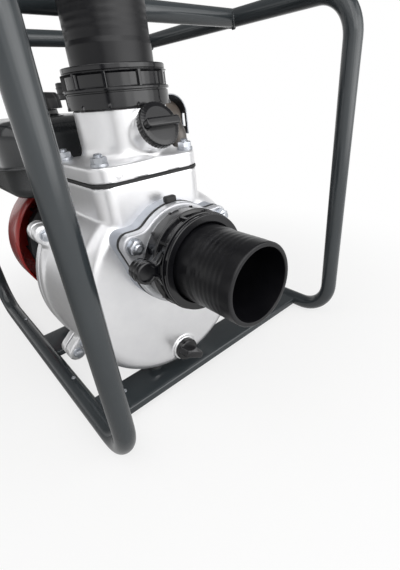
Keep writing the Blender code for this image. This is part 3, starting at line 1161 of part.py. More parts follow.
def build_tank(paint, plastic):
    """Pressed fuel tank with its seam, filler neck and cap."""
    seam = TANK_BOTTOM_HEIGHT
    top = seam + TANK_TOP_HEIGHT
    lip = TANK_SEAM_THICKNESS / 2
    levels = [(TANK_FOOT_INSET, 0), (0, TANK_FOOT), (0, seam - lip), (-TANK_SEAM, seam - lip),
              (-TANK_SEAM, seam + lip), (0, seam + lip), (0, top - TANK_SHOULDER),
              (TANK_CROWN_INSET, top - TANK_CROWN), (TANK_TOP_INSET, top - TANK_DISH)]
    shapes = [(rectangle(TANK_WIDTH - 2 * inset, TANK_LENGTH - 2 * inset, TANK_CORNER), z)
              for inset, z in levels]
    tank = make("fuel_tank", stack(shapes), paint, (TANK_X, TANK_Y, TANK_Z))
    neck_top = top + FUEL_NECK_HEIGHT
    join(tank, rod(FUEL_NECK_RADIUS, top - CUT, neck_top))
    post_y = BLOCK_Y + TANK_POST_PLACE - TANK_Y
    for sign in (-1, 1):
        across = sign * TANK_POST_SPREAD
        seat = sqrt(CRANKCASE_RADIUS ** 2 - (abs(across) - TANK_POST_RADIUS) ** 2) + GAP
        low = CRANK_Z + seat - TANK_Z
        join(tank, rod(TANK_POST_RADIUS, low, CUT, SMALL_ROUND, (SUCTION_X + across - TANK_X, post_y)))
    cap_place = (TANK_X, TANK_Y, TANK_Z + neck_top + GAP)
    rim = lobed(FUEL_CAP_RADIUS)
    crown = lobed(FUEL_CAP_RADIUS - FUEL_CAP_CROWN_INSET)
    cap = stack([(rim, 0), (rim, FUEL_CAP_HEIGHT - FUEL_CAP_CROWN), (crown, FUEL_CAP_HEIGHT)])
    make("fuel_cap", cap, plastic, cap_place)


def lobed(radius):
    """Round outline of the fuel cap with a dip between each two finger lobes."""
    count = 4 * FUEL_CAP_LOBES
    reaches = [radius - FUEL_CAP_DIP if k % 4 == 0 else radius for k in range(count)]
    return [(r * cos(2 * pi * k / count), r * sin(2 * pi * k / count)) for k, r in enumerate(reaches)]


def build_exhaust(steel, guard_finish):
    """Muffler with its pipe from the head, and the guard over it."""
    front = CYLINDER_Y - FIN_HALF_DEPTH
    place = (MUFFLER_X, front + MUFFLER_LENGTH / 2, MUFFLER_BOTTOM)
    enter = MUFFLER_HEIGHT / 2
    side = rectangle(MUFFLER_WIDTH, MUFFLER_HEIGHT, MUFFLER_ROUND, CORNER_STEPS, (0, enter))
    end = rectangle(MUFFLER_WIDTH - 2 * MUFFLER_END, MUFFLER_HEIGHT - 2 * MUFFLER_END,
                    MUFFLER_ROUND - MUFFLER_END, CORNER_STEPS, (0, enter))
    half = MUFFLER_LENGTH / 2
    levels = [(end, -half), (side, MUFFLER_END - half), (side, half - MUFFLER_END), (end, half)]
    muffler = make("muffler", moved(stack(levels), Matrix.Rotation(pi / 2, 4, "X")), steel, place)
    port = cylinder_point((HEAD_START + ROCKER_START) / 2, 0, -FIN_HALF_DEPTH - GAP)
    port_z = port.z - MUFFLER_BOTTOM
    out = -half - 2 * PIPE_BEND + PIPE_RADIUS / 2
    flange_y = -half - GAP
    path = filleted([(flange_y, port_z, 0), (out, port_z, PIPE_BEND), (out, enter, PIPE_BEND),
                     (CUT - half, enter, 0)])
    port_x = port.x - MUFFLER_X
    join(muffler, tube([(port_x, y, z) for y, z in path], PIPE_RADIUS, SMALL_ROUND, (1, 0, 0)))
    boss_top = MUFFLER_HEIGHT + GUARD_OFFSET - GAP
    post_root = MUFFLER_HEIGHT - GUARD_POST_ROOT
    posts = [rod(GUARD_POST_RADIUS, post_root, boss_top, SMALL_ROUND, (sign * GUARD_POST_SPREAD, 0))
             for sign in (-1, 1)]
    join(muffler, gathered(posts))

    outer = 2 * GUARD_SIDE
    inner = MUFFLER_WIDTH + 2 * GUARD_OFFSET
    roof = MUFFLER_HEIGHT + GUARD_OFFSET
    skin = roof + GUARD_THICKNESS
    bend = MUFFLER_ROUND + GUARD_OFFSET
    outside = filleted([(outer / 2, GUARD_SKIRT, 0), (outer / 2, skin, bend + GUARD_THICKNESS),
                        (-outer / 2, skin, bend + GUARD_THICKNESS), (-outer / 2, GUARD_SKIRT, 0)])
    inside = filleted([(inner / 2, GUARD_SKIRT, 0), (inner / 2, roof, bend),
                       (-inner / 2, roof, bend), (-inner / 2, GUARD_SKIRT, 0)])
    sheet = moved(prism(outside + inside[::-1], -half, half), Matrix.Rotation(pi / 2, 4, "X"))
    guard = make("muffler_guard", sheet, guard_finish, place)
    pitch = MUFFLER_LENGTH / GUARD_SLOTS
    places = [(0, (k + 0.5) * pitch - half) for k in range(GUARD_SLOTS)]
    slots = [prism(rectangle(GUARD_SLOT_LENGTH, GUARD_SLOT_WIDTH, GUARD_SLOT_CORNER, 1, place),
                   roof - 2 * GUARD_THICKNESS, skin + 2 * GUARD_THICKNESS) for place in places]
    cut(guard, gathered(slots))


def build_intake(cast, plastic, steel):
    """Carburettor, air cleaner and the hand controls."""
    seat_y = CYLINDER_Y + FIN_HALF_DEPTH + GAP
    port = cylinder_point((HEAD_START + ROCKER_START) / 2)
    carb_x, carb_z = port.x + CARBURETTOR_SHIFT, port.z + CARBURETTOR_RISE
    half_height = CARBURETTOR_HEIGHT / 2
    carb_place = (carb_x, seat_y, carb_z)
    body = rectangle(CARBURETTOR_WIDTH, CARBURETTOR_HEIGHT, CARBURETTOR_CORNER, SMALL_STEPS)
    carb = make("carburettor", prism(body, -CARBURETTOR_DEPTH, 0), cast, carb_place, FRONT)
    sump = half_height + BOWL_HEIGHT
    bowl = [(BOWL_FOOT, -sump), (BOWL_RADIUS, BOWL_ROUND - sump), (BOWL_RADIUS, 0)]
    upright = Matrix.Translation((0, 0, -CARBURETTOR_DEPTH / 2)) @ Matrix.Rotation(-pi / 2, 4, "X")
    join(carb, moved(turned(bowl, ROUND), upright))

    cleaner_y = seat_y + CLEANER_LENGTH / 2
    base_place = (carb_x, cleaner_y, CLEANER_FLOOR)
    plan = rectangle(CLEANER_WIDTH, CLEANER_LENGTH, CLEANER_CORNER, BEND_STEPS)
    base = make("air_cleaner_base", prism(plan, 0, CLEANER_BASE_HEIGHT), plastic, base_place)
    duct_low = carb_z + half_height + GAP - CLEANER_FLOOR
    duct = rectangle(DUCT_WIDTH, DUCT_DEPTH, CARBURETTOR_CORNER, SMALL_STEPS,
                     (0, CARBURETTOR_DEPTH / 2 - CLEANER_LENGTH / 2))
    join(base, prism(duct, duct_low, CLEANER_BASE_HEIGHT / 2))
    cover_z = CLEANER_FLOOR + CLEANER_BASE_HEIGHT + GAP
    tiers = [(0, 0), (0, CLEANER_SKIRT), (CLEANER_SKIRT_STEP, CLEANER_SKIRT + CLEANER_SKIRT_STEP),
             (CLEANER_DRAFT, CLEANER_COVER_HEIGHT - CLEANER_CROWN), (CLEANER_TOP_INSET, CLEANER_COVER_HEIGHT)]
    levels = [(rectangle(CLEANER_WIDTH - 2 * inset, CLEANER_LENGTH - 2 * inset, CLEANER_CORNER, BEND_STEPS),
               z) for inset, z in tiers]
    make("air_cleaner_cover", stack(levels), plastic, (carb_x, cleaner_y, cover_z))
    edge, foot, top = CLEANER_KNOB_EDGE, CLEANER_KNOB_FOOT, CLEANER_KNOB_HEIGHT
    knob = [(CLEANER_KNOB_NECK, 0), (CLEANER_KNOB_NECK, foot), (CLEANER_KNOB_RADIUS, foot + edge),
            (CLEANER_KNOB_RADIUS, top - edge), (CLEANER_KNOB_RADIUS - edge, top)]
    make("air_cleaner_knob", turned(knob, INNER_ROUND), plastic,
         (carb_x, cleaner_y, cover_z + CLEANER_COVER_HEIGHT + GAP))

    build_controls(steel, plastic, carb_place)


def lever_shape(length):
    """Flat lever with a round pivot end and a narrower thumb end."""
    return filleted([(-LEVER_ROUND, -LEVER_ROUND, LEVER_CORNER), (LEVER_ROUND, -LEVER_ROUND, LEVER_CORNER),
                     (LEVER_END, length, LEVER_END_CORNER), (-LEVER_END, length, LEVER_END_CORNER)],
                    SMALL_STEPS)


def side_lever(name, place, length, angle, finish):
    """Lever on a pivot that points to the right, drawn from its pivot."""
    sideways = Matrix.Rotation(pi / 2, 4, "Y") @ Matrix.Rotation(pi / 2, 4, "Z")
    lever = make(name, moved(prism(lever_shape(length), 0, LEVER_THICKNESS),
                             Matrix.Rotation(angle, 4, "X") @ sideways), finish, place)
    pin_top = LEVER_THICKNESS + PIVOT_RADIUS
    pin = moved(rod(2 * PIVOT_RADIUS, LEVER_THICKNESS / 2, pin_top, SMALL_ROUND), sideways)
    join(lever, pin)


def build_controls(steel, plastic, carb_place):
    """Control bracket on the shroud with the throttle lever, and the levers on the carburettor."""
    wall_x = SUCTION_X + SHROUD_RADIUS + GAP
    bracket_y = SHROUD_Y + SHROUD_DEPTH - BRACKET_LENGTH / 2 - BRACKET_MARGIN
    bracket_z = CRANK_Z + BRACKET_RISE
    plate = rectangle(BRACKET_LENGTH, BRACKET_HEIGHT, BRACKET_CORNER, SMALL_STEPS)
    sideways = Matrix.Rotation(pi / 2, 4, "Y") @ Matrix.Rotation(pi / 2, 4, "Z")
    make("control_bracket", moved(prism(plate, 0, BRACKET_THICKNESS), sideways), steel,
         (wall_x, bracket_y, bracket_z))
    lever_x = wall_x + BRACKET_THICKNESS + GAP
    side_lever("throttle_lever", (lever_x, bracket_y, bracket_z), THROTTLE_LENGTH, THROTTLE_ANGLE, plastic)

    flank_x = carb_place[0] + CARBURETTOR_WIDTH / 2 + GAP
    middle_y = carb_place[1] + CARBURETTOR_DEPTH / 2
    raise_ = CARBURETTOR_HEIGHT / 2 - LEVER_ROUND - LEVER_MARGIN
    side_lever("choke_lever", (flank_x, middle_y, carb_place[2] + raise_), CHOKE_LENGTH, CHOKE_ANGLE, plastic)
    side_lever("fuel_valve_lever", (flank_x, middle_y, carb_place[2] - raise_), FUEL_LEVER_LENGTH,
               FUEL_LEVER_ANGLE, plastic)


def build():
    """Clear the scene and build every piece."""
    for old in list(bpy.data.objects):
        bpy.data.objects.remove(old, do_unlink=True)
    frame_paint = surface("frame_paint", "#3C4245", 0.35, 0.0)
    cast = surface("cast_aluminium", "#D6D6D4", 0.45, 0.9)
    rubber = surface("rubber", "#2A2B2D", 0.75, 0.0)
    plastic = surface("moulded_plastic", "#1C1C1F", 0.35, 0.0)
    zinc = surface("zinc_plated_steel", "#C9CBCE", 0.3, 1.0)
    iron = surface("cast_iron", "#5A5B5D", 0.6, 0.8)
    red_paint = surface("engine_paint", "#B3261E", 0.35, 0.0)
    tank_paint = surface("tank_paint", "#2B2E30", 0.3, 0.0)
    ceramic = surface("plug_ceramic", "#E9E6DE", 0.3, 0.0)
    build_frame(frame_paint, rubber)
    build_casing(cast, rubber, plastic)
    build_suction(cast, zinc, rubber, plastic)
    build_discharge(cast, zinc, rubber, plastic)
    build_pump_inside(cast, iron, zinc, rubber)
    build_engine(cast, zinc, plastic, ceramic)
    build_starter(red_paint, iron, plastic)
    build_tank(tank_paint, plastic)
    build_exhaust(iron, zinc)
    build_intake(cast, plastic, zinc)


build()
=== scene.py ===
"""Visual model of a gas engine trash pump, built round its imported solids.

Sizes are in millimetres in each piece's own frame. A frame matrix carries them to metres in the
part's frame: +X right, +Y back, +Z up, with the hose mouth facing -Y.
"""
from __future__ import annotations

import json
import logging
from dataclasses import dataclass, field
from enum import Enum
from typing import Callable, Sequence

import bmesh
import bpy
import numpy as np
from mathutils import Matrix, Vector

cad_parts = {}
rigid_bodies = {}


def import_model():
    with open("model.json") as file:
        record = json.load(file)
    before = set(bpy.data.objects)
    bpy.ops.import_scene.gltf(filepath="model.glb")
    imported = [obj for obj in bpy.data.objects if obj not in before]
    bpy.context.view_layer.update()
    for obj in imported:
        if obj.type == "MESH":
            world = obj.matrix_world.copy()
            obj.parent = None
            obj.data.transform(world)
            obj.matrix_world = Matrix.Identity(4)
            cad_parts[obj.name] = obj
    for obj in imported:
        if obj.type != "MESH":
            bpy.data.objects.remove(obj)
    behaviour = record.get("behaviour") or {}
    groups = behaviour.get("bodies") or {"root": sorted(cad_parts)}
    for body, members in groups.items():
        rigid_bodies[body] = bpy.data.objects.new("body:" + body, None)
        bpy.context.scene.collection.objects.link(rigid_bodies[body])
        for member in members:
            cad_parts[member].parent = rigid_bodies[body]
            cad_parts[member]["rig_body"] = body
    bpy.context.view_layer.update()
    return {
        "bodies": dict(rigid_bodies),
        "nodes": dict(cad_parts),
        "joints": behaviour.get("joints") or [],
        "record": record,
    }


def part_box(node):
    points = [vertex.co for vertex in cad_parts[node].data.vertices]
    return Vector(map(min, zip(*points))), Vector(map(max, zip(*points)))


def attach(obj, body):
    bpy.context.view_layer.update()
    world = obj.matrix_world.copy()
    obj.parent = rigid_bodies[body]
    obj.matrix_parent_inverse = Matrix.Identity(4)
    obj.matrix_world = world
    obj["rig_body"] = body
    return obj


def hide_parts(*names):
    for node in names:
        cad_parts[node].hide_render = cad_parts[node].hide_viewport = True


Array = np.ndarray
Field = Callable[[Array], Array]
MM = 0.001
MERGED = 2e-6  # points nearer than this, in metres, become one
AXIS = -61.0  # place of the pump's and the crankshaft's axis, across
CRANK_HEIGHT = 142.5  # height of the crankshaft
CASING_REAR = -36.7  # rear face of the pump casing
GASKET_ROOM = 3.6  # a gasket and the gaps on both its sides
TANK_SEAT = (-87.5, 79.8, 242.8)  # under the fuel tank's middle
MUFFLER_SEAT = (48.0, 51.0, 272.0)  # under the muffler's middle
log = logging.getLogger("trash_pump")


@dataclass
class Surface:
    """Points and the faces between them, each face array with one row per face."""

    points: Array  # array of shape (n, 3)
    faces: list[Array]  # index arrays, all rows of one array having equally many corners

    def __add__(self, other: "Surface") -> "Surface":
        """Both surfaces as one piece."""
        faces = self.faces + [f + len(self.points) for f in other.faces]
        return Surface(np.vstack((self.points, other.points)), faces)

    def moved(self, matrix: Array) -> "Surface":
        """The same surface carried by a 4 x 4 matrix."""
        return Surface(self.points @ matrix[:3, :3].T + matrix[:3, 3], self.faces)


def gathered(surfaces: Sequence[Surface]) -> Surface:
    """Several surfaces as one piece."""
    return sum(surfaces[1:], surfaces[0])


def frame_at(place: Sequence[float], right: Sequence[float], up: Sequence[float],
             scale: float = MM) -> Array:
    """Frame whose x runs right, y up and z along their cross product.

    Args:
        place: Origin in millimetres.
        right: Direction of x.
        up: Direction of y.
        scale: Size of a millimetre in the outer frame: MM in the part's, one inside another frame.

    Returns:
        4 x 4 matrix from the frame to the outer one.
    """
    axes = np.stack((right, up, np.cross(right, up)), 1)
    matrix = np.eye(4)
    matrix[:3, :3] = axes / np.linalg.norm(axes, axis=0) * scale
    matrix[:3, 3] = np.asarray(place, float) * scale
    return matrix


def front_frame(x: float, y: float, z: float) -> Array:
    """Frame that looks at the pump's front: z comes forward."""
    return frame_at((x, y, z), (1, 0, 0), (0, 0, 1))


def back_frame(x: float, y: float, z: float) -> Array:
    """Frame that looks at the starter's side: z goes back."""
    return frame_at((x, y, z), (-1, 0, 0), (0, 0, 1))


def plan_frame(x: float, y: float, z: float) -> Array:
    """Frame seen from above: z goes up."""
    return frame_at((x, y, z), (1, 0, 0), (0, 1, 0))


def turned_frame(angle: float, x: float = 0.0, y: float = 0.0, z: float = 0.0) -> Array:
    """Turn about z by an angle in radians, then a shift, both in millimetres of the outer frame.

    Args:
        angle: Turn in radians.
        x: Shift along x.
        y: Shift along y.
        z: Shift along z.

    Returns:
        4 x 4 matrix.
    """
    matrix = np.eye(4)
    matrix[:2, :2] = [[np.cos(angle), -np.sin(angle)], [np.sin(angle), np.cos(angle)]]
    matrix[:3, 3] = (x, y, z)
    return matrix


def box_of(node: str) -> tuple[Array, Array]:
    """Lowest and highest corner of a solid, in millimetres."""
    low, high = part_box(node)
    return np.array(low) / MM, np.array(high) / MM


def turns(count: int) -> Array:
    """Equal steps of one full turn, in radians."""
    return np.linspace(0, 2 * np.pi, count, endpoint=False)


def heading(degrees: float) -> tuple[float, float]:
    """Cosine and sine of an angle in degrees."""
    return np.cos(np.radians(degrees)), np.sin(np.radians(degrees))


def unit(t: Array) -> Array:
    """Points on the unit circle at angles in radians."""
    return np.stack((np.cos(t), np.sin(t)), 1)


def circle(radius: float, count: int = 48) -> Array:
    """Closed circle: radius times cosine and sine of equal steps."""
    return radius * unit(turns(count))


def fillet(corners: Sequence[tuple[float, float, float]], steps: int = 6, closed: bool = True) -> Array:
    """Line through (x, y, radius) corners, each corner replaced by an arc tangent to its two sides.

    Args:
        corners: Corners with their rounding radius; an end of an open line stays sharp.
        steps: Chords in each arc.
        closed: Whether the last corner joins the first.

    Returns:
        Points of shape (n, 2).
    """
    places = np.array([corner[:2] for corner in corners], float)
    line = []
    last = len(corners) - 1
    for i, (_, _, radius) in enumerate(corners):
        corner = places[i]
        if radius <= 0 or (not closed and i in (0, last)):
            line.append(corner[None])
            continue
        before, after = places[i - 1] - corner, places[(i + 1) % (last + 1)] - corner
        reach_before, reach_after = np.hypot(*before), np.hypot(*after)
        before, after = before / reach_before, after / reach_after
        half = np.arccos(np.clip(before @ after, -1, 1)) / 2
        reach = min(radius / np.tan(half), 0.49 * reach_before, 0.49 * reach_after)
        radius = reach * np.tan(half)
        centre = corner + (before + after) / np.linalg.norm(before + after) * radius / np.sin(half)
        first, second = corner + before * reach - centre, corner + after * reach - centre
        start = np.arctan2(first[1], first[0])
        turn = (np.arctan2(second[1], second[0]) - start + np.pi) % (2 * np.pi) - np.pi
        t = start + turn * np.linspace(0, 1, steps + 1)
        line.append(centre + radius * unit(t))
    return np.vstack(line)


def rectangle(width: float, height: float, radius: float, steps: int = 6) -> Array:
    """Rounded rectangle about the origin, counter-clockwise."""
    x, y = width / 2, height / 2
    return fillet([(x, -y, radius), (x, y, radius), (-x, y, radius), (-x, -y, radius)], steps)


def capsule(length: float, radius: float, steps: int = 12) -> Array:
    """Outline round two circles, one at the origin and one a length along x."""
    cap = radius * unit(np.linspace(-np.pi / 2, np.pi / 2, steps))
    return np.vstack((cap + (length, 0), -cap))


def draw_in(outline: Array, distance: float) -> Array:
    """Closed outline moved inwards: each point goes along its mitre, the sum of its two edge normals
    divided by one plus their product. The sign of the enclosed area tells which way is in.

    Args:
        outline: Points of shape (n, 2).
        distance: How far inwards.

    Returns:
        The new outline.
    """
    edge = np.roll(outline, -1, 0) - outline
    turning = np.sign((outline[:, 0] * edge[:, 1] - outline[:, 1] * edge[:, 0]).sum())
    length = np.linalg.norm(edge, axis=1)[:, None]
    normal = np.stack((edge[:, 1], -edge[:, 0]), 1) / length * turning
    before = np.roll(normal, 1, 0)
    return outline - distance * (normal + before) / (1 + (normal * before).sum(1))[:, None]


def net(points: Array, loop_u: bool = False, loop_v: bool = True, caps: bool = False,
        keep: Array | None = None) -> Surface:
    """Faces between neighbours on a grid of points.

    Args:
        points: Array of shape (rows, columns, 3).
        loop_u: Whether the last row joins the first.
        loop_v: Whether the last column joins the first.
        caps: Whether the first and last rows are closed by a flat face.
        keep: Which faces stay, as an array of truth values over the grid's cells.

    Returns:
        The surface over the grid.
    """
    rows, columns = points.shape[:2]
    index = np.arange(rows * columns).reshape(rows, columns)
    ends = [index[:1], index[-1:]]
    if loop_u:
        index = np.vstack((index, index[:1]))
    if loop_v:
        index = np.hstack((index, index[:, :1]))
    quads = np.stack((index[:-1, :-1], index[:-1, 1:], index[1:, 1:], index[1:, :-1]), -1)
    quads = quads.reshape(-1, 4) if keep is None else quads[keep]
    return Surface(points.reshape(-1, 3), [quads] + (ends if caps else []))


def lobed(profile: Array, radius: Array, looped: bool = False, keep: Array | None = None) -> Surface:
    """Turned surface whose radius changes round the turn: row i and turn t give (r cos t, r sin t, h).

    Args:
        profile: Points (r, h), of which only the heights are used.
        radius: Radius of each profile point at equal turns.
        looped: Whether the profile is closed.
        keep: Which faces stay.

    Returns:
        The surface.
    """
    turn = turns(radius.shape[1])
    height = np.broadcast_to(profile[:, 1:], radius.shape)
    points = np.stack((radius * np.cos(turn), radius * np.sin(turn), height), -1)
    return net(points, loop_u=looped, keep=keep)


def revolve(profile: Sequence | Array, segments: int = 72, looped: bool = False) -> Surface:
    """Surface of revolution about z: profile points (r, h) become (r cos t, r sin t, h)."""
    line = np.asarray(profile, float)
    return lobed(line, np.broadcast_to(line[:, :1], (len(line), segments)), looped)


def turned(corners: Sequence[tuple[float, float, float]], steps: int, segments: int) -> Surface:
    """Surface of revolution whose profile runs through rounded (r, h, radius) corners."""
    return revolve(fillet(corners, steps, closed=False), segments)


def rod(radius: float, low: float, high: float, segments: int) -> Surface:
    """Plain cylinder about z with flat ends."""
    return revolve([(0, low), (radius, low), (radius, high), (0, high)], segments)


def stacked(rings: Sequence[tuple[Array, float]], looped: bool = False, caps: bool = False) -> Surface:
    """Surface through flat outlines, each laid at its own height."""
    points = [np.column_stack((ring, np.full(len(ring), height))) for ring, height in rings]
    return net(np.stack(points), loop_u=looped, caps=caps)


def tiers(outline: Array, levels: Sequence[tuple[float, float]]) -> Surface:
    """Solid whose section at each (inset, height) level is the outline drawn in by that inset."""
    return stacked([(draw_in(outline, inset), height) for inset, height in levels], caps=True)


def edge_levels(low: float, high: float, base: float, top: float,
                steps: int = 4) -> list[tuple[float, float]]:
    """Levels of a slab with round edges: at the angle t an edge of radius r is drawn in by r (1 - cos t)
    and lies r (1 - sin t) from its face.

    Args:
        low: Lower face.
        high: Upper face.
        base: Radius of the lower edge.
        top: Radius of the upper edge.
        steps: Chords of an edge.

    Returns:
        Pairs of inset and height.
    """
    t = np.linspace(0, np.pi / 2, steps + 1)
    rise = zip(base * (1 - np.cos(t[::-1])), low + base * (1 - np.sin(t[::-1])))
    return [*rise, *zip(top * (1 - np.cos(t)), high - top * (1 - np.sin(t)))]


def slab(outline: Array, low: float, high: float, edge: float = 1.0, base: float | None = None) -> Surface:
    """Outline carried up from low to high, with its edges rounded."""
    return tiers(outline, edge_levels(low, high, edge if base is None else base, edge))


def sweep(section: Array, path: Array, side: Sequence[float], looped: bool = False) -> Surface:
    """Profile carried along a path that is square to one side direction: a section point (a, b) lies a
    along the side and b along the cross product of the path's direction and the side.

    Args:
        section: Points (a, b), for the whole path or for each of its points.
        path: Points of shape (n, 3).
        side: Direction square to the path.
        looped: Whether the path is closed.

    Returns:
        The surface.
    """
    ahead = np.roll(path, -1, 0) - np.roll(path, 1, 0) if looped else np.gradient(path, axis=0)
    across = np.cross(ahead / np.linalg.norm(ahead, axis=1)[:, None], side)
    section = section if section.ndim == 3 else section[None]
    aside, above = section[..., :1] * np.asarray(side, float), section[..., 1:] * across[:, None]
    return net(path[:, None] + aside + above, loop_u=looped, caps=not looped)


def blend(a: Array, b: Array, width: float) -> Array:
    """Union of two distance fields with a fillet: the smaller, less h squared times a quarter of the width,
    where h falls from one to nothing as the two distances part by the width."""
    h = np.maximum(width - np.abs(a - b), 0) / width
    return np.minimum(a, b) - h * h * width / 4


def meet(a: Array, b: Array, edge: float) -> Array:
    """Common part of two distance fields, with the edge between them rounded by a radius."""
    outside = np.hypot(np.maximum(a + edge, 0), np.maximum(b + edge, 0))
    return np.minimum(np.maximum(a, b) + edge, 0) + outside - edge


def skin(shape: Field, low: Sequence[float], high: Sequence[float], cell: float) -> Surface:
    """Closed surface where a distance field is zero. Each grid cell that the surface crosses holds one
    point, the mean of the crossings on its edges, pulled onto the surface along the field's slope. Each
    grid edge that is crossed gives one face between the four cells round it.

    Args:
        shape: Field of signed distances, negative inside.
        low: Lowest corner of the box that is searched.
        high: Highest corner.
        cell: Width of a cell.

    Returns:
        The surface, facing outwards.
    """
    low, high = np.asarray(low, float) - 2 * cell, np.asarray(high, float) + 2 * cell
    axes = [np.arange(a, b + cell, cell) for a, b in zip(low, high)]
    value = shape(np.stack(np.meshgrid(*axes, indexing="ij"), -1))
    total = np.zeros((*(n - 1 for n in value.shape), 3))
    count = np.zeros(total.shape[:3])
    corners = []
    for k in range(3):
        start = np.moveaxis(value, k, 0)[:-1]
        end = np.moveaxis(value, k, 0)[1:]
        place = np.argwhere((start < 0) != (end < 0))
        at_start, at_end = start[tuple(place.T)], end[tuple(place.T)]
        order = [1, 2, 0] if k == 2 else [1, 0, 2] if k == 1 else [0, 1, 2]
        edge = place[:, order]
        point = edge.astype(float)
        point[:, k] += at_start / (at_start - at_end)
        i, j = (k + 1) % 3, (k + 2) % 3
        around = []
        for back_i, back_j in ((0, 0), (1, 0), (1, 1), (0, 1)):
            owner = edge.copy()
            owner[:, i] -= back_i
            owner[:, j] -= back_j
            np.add.at(total, tuple(owner.T), point)
            np.add.at(count, tuple(owner.T), 1)
            around.append(owner)
        quad = np.stack(around, 1)
        quad[at_start >= 0] = quad[at_start >= 0][:, ::-1]
        corners.append(quad)
    number = np.cumsum(count > 0).reshape(count.shape) - 1
    points = low + cell * total[count > 0] / count[count > 0][:, None]
    step = 0.02 * cell
    for _ in range(3):
        rises = [shape(points + step * d) - shape(points - step * d) for d in np.eye(3)]
        slope = np.stack(rises, -1) / (2 * step)
        pull = shape(points)[:, None] * slope / np.maximum((slope ** 2).sum(1), 0.25)[:, None]
        points = points - np.clip(pull, -cell / 2, cell / 2)
    quads = np.vstack(corners)
    return Surface(points, [number[quads[..., 0], quads[..., 1], quads[..., 2]]])


def linear(code: str) -> tuple[float, float, float, float]:
    """Linear colour of an sRGB hex value.

    Args:
        code: Colour as #RRGGBB.

    Returns:
        Red, green, blue and one.
    """
    channels = np.array([int(code[i:i + 2], 16) for i in (1, 3, 5)]) / 255
    values = np.where(channels <= 0.04045, channels / 12.92, ((channels + 0.055) / 1.055) ** 2.4)
    return (*values.tolist(), 1.0)


def add_node(tree: bpy.types.NodeTree, kind: str, links: dict | None = None,
             **settings: object) -> bpy.types.Node:
    """Add a node with its settings and links.

    Args:
        tree: Node tree that gets the node.
        kind: Node type name.
        links: Input socket to the output socket that feeds it, or to a plain value.
        settings: Properties of the node.

    Returns:
        The node.
    """
    node = tree.nodes.new(kind)
    for name, value in settings.items():
        setattr(node, name, value)
    for socket, source in (links or {}).items():
        if isinstance(source, bpy.types.NodeSocket):
            tree.links.new(source, node.inputs[socket])
        else:
            node.inputs[socket].default_value = source
    return node


class Grain(Enum):
    """Kind of fine relief on a surface, with the detail of its noise."""

    CAST = 6.0
    PEEL = 1.0
    MOULDED = 0.0
    DRAWN = 2.0


@dataclass(frozen=True)
class Finish:
    """One real material and the way its surface was made."""

    name: str  # material and surface
    slot: str  # the record's material slot
    colour: str  # main sRGB colour
    shade: str  # colour of the slow patches
    roughness: tuple[float, float]  # roughness of the smoothest and the dullest patches
    metallic: float  # share of metal
    patch: float  # size of the slow patches in millimetres
    grain: float  # size of the fine relief in millimetres
    depth: float  # depth of the fine relief in millimetres
    kind: Grain  # kind of the fine relief
    coat: float = 0.0  # weight of a clear gloss coat
    shine: float = 0.5  # level of the plain reflection, where a half is that of clear plastic

    def material(self) -> bpy.types.Material:
        """The finish as a procedural material, made once.

        Returns:
            The material.
        """
        found = bpy.data.materials.get(self.name)
        if found:
            return found
        material = bpy.data.materials.new(self.name)
        material.use_nodes = True
        tree = material.node_tree
        shader = tree.nodes["Principled BSDF"]
        place = add_node(tree, "ShaderNodeTexCoord").outputs["Object"]
        cloud = {"Vector": place, "Scale": 1 / (self.patch * MM), "Detail": 5.0, "Roughness": 0.6}
        patches = add_node(tree, "ShaderNodeTexNoise", cloud).outputs["Fac"]
        sharpened = add_node(tree, "ShaderNodeMapRange", {0: patches, 1: 0.32, 2: 0.68}).outputs[0]
        tones = {0: sharpened, 6: linear(self.colour), 7: linear(self.shade)}
        colour = add_node(tree, "ShaderNodeMix", tones, data_type="RGBA")
        smooth, dull = self.roughness
        dullness = add_node(tree, "ShaderNodeMapRange", {0: patches, 1: 0.3, 2: 0.7, 3: smooth, 4: dull})
        tree.links.new(colour.outputs[2], shader.inputs["Base Color"])
        tree.links.new(dullness.outputs[0], shader.inputs["Roughness"])
        fine = {"Vector": place, "Scale": 1 / (self.grain * MM)}
        if self.kind is Grain.DRAWN:
            stretched = {"Vector": place, "Scale": (1, 1, 0.04)}
            fine["Vector"] = add_node(tree, "ShaderNodeMapping", stretched).outputs[0]
        if self.kind is Grain.MOULDED:
            relief = add_node(tree, "ShaderNodeTexVoronoi", fine, feature="SMOOTH_F1").outputs["Distance"]
        else:
            relief = add_node(tree, "ShaderNodeTexNoise", fine | {"Detail": self.kind.value}).outputs["Fac"]
        raised = {"Height": relief, "Distance": self.depth * MM, "Strength": 1.0}
        tree.links.new(add_node(tree, "ShaderNodeBump", raised).outputs[0], shader.inputs["Normal"])
        shader.inputs["Metallic"].default_value = self.metallic
        shader.inputs["Specular IOR Level"].default_value = self.shine
        shader.inputs["Coat Weight"].default_value = self.coat
        shader.inputs["Coat Roughness"].default_value = 0.12
        return material


# Gravity-cast aluminium, bead-blasted: pale silver, softly shining, finely grained, faintly clouded.
CASTING = Finish("cast_aluminium_blasted", "cast_aluminium", "#ECECED", "#E2E2E4", (0.31, 0.39), 0.82, 46.0,
                 1.1, 0.035, Grain.CAST)
# The casing's pad: the casing's aluminium painted darker and blue-grey as painted shade on the pad's wall,
# and duller than the casing.
PAD_CASTING_PAINTED_SHADE = Finish("cast_aluminium_painted_shade", "cast_aluminium", "#BEC2C9", "#B2B6BF", (0.46, 0.58), 0.45,
                     30.0, 1.0, 0.03, Grain.CAST)
# Die-cast aluminium, tumbled: greyer and smoother than the casing, with a duller sheen.
DIE_CASTING = Finish("die_cast_aluminium_tumbled", "cast_aluminium", "#D2D3D6", "#C5C6CA", (0.34, 0.44),
                     0.50, 24.0, 0.8, 0.02, Grain.CAST)
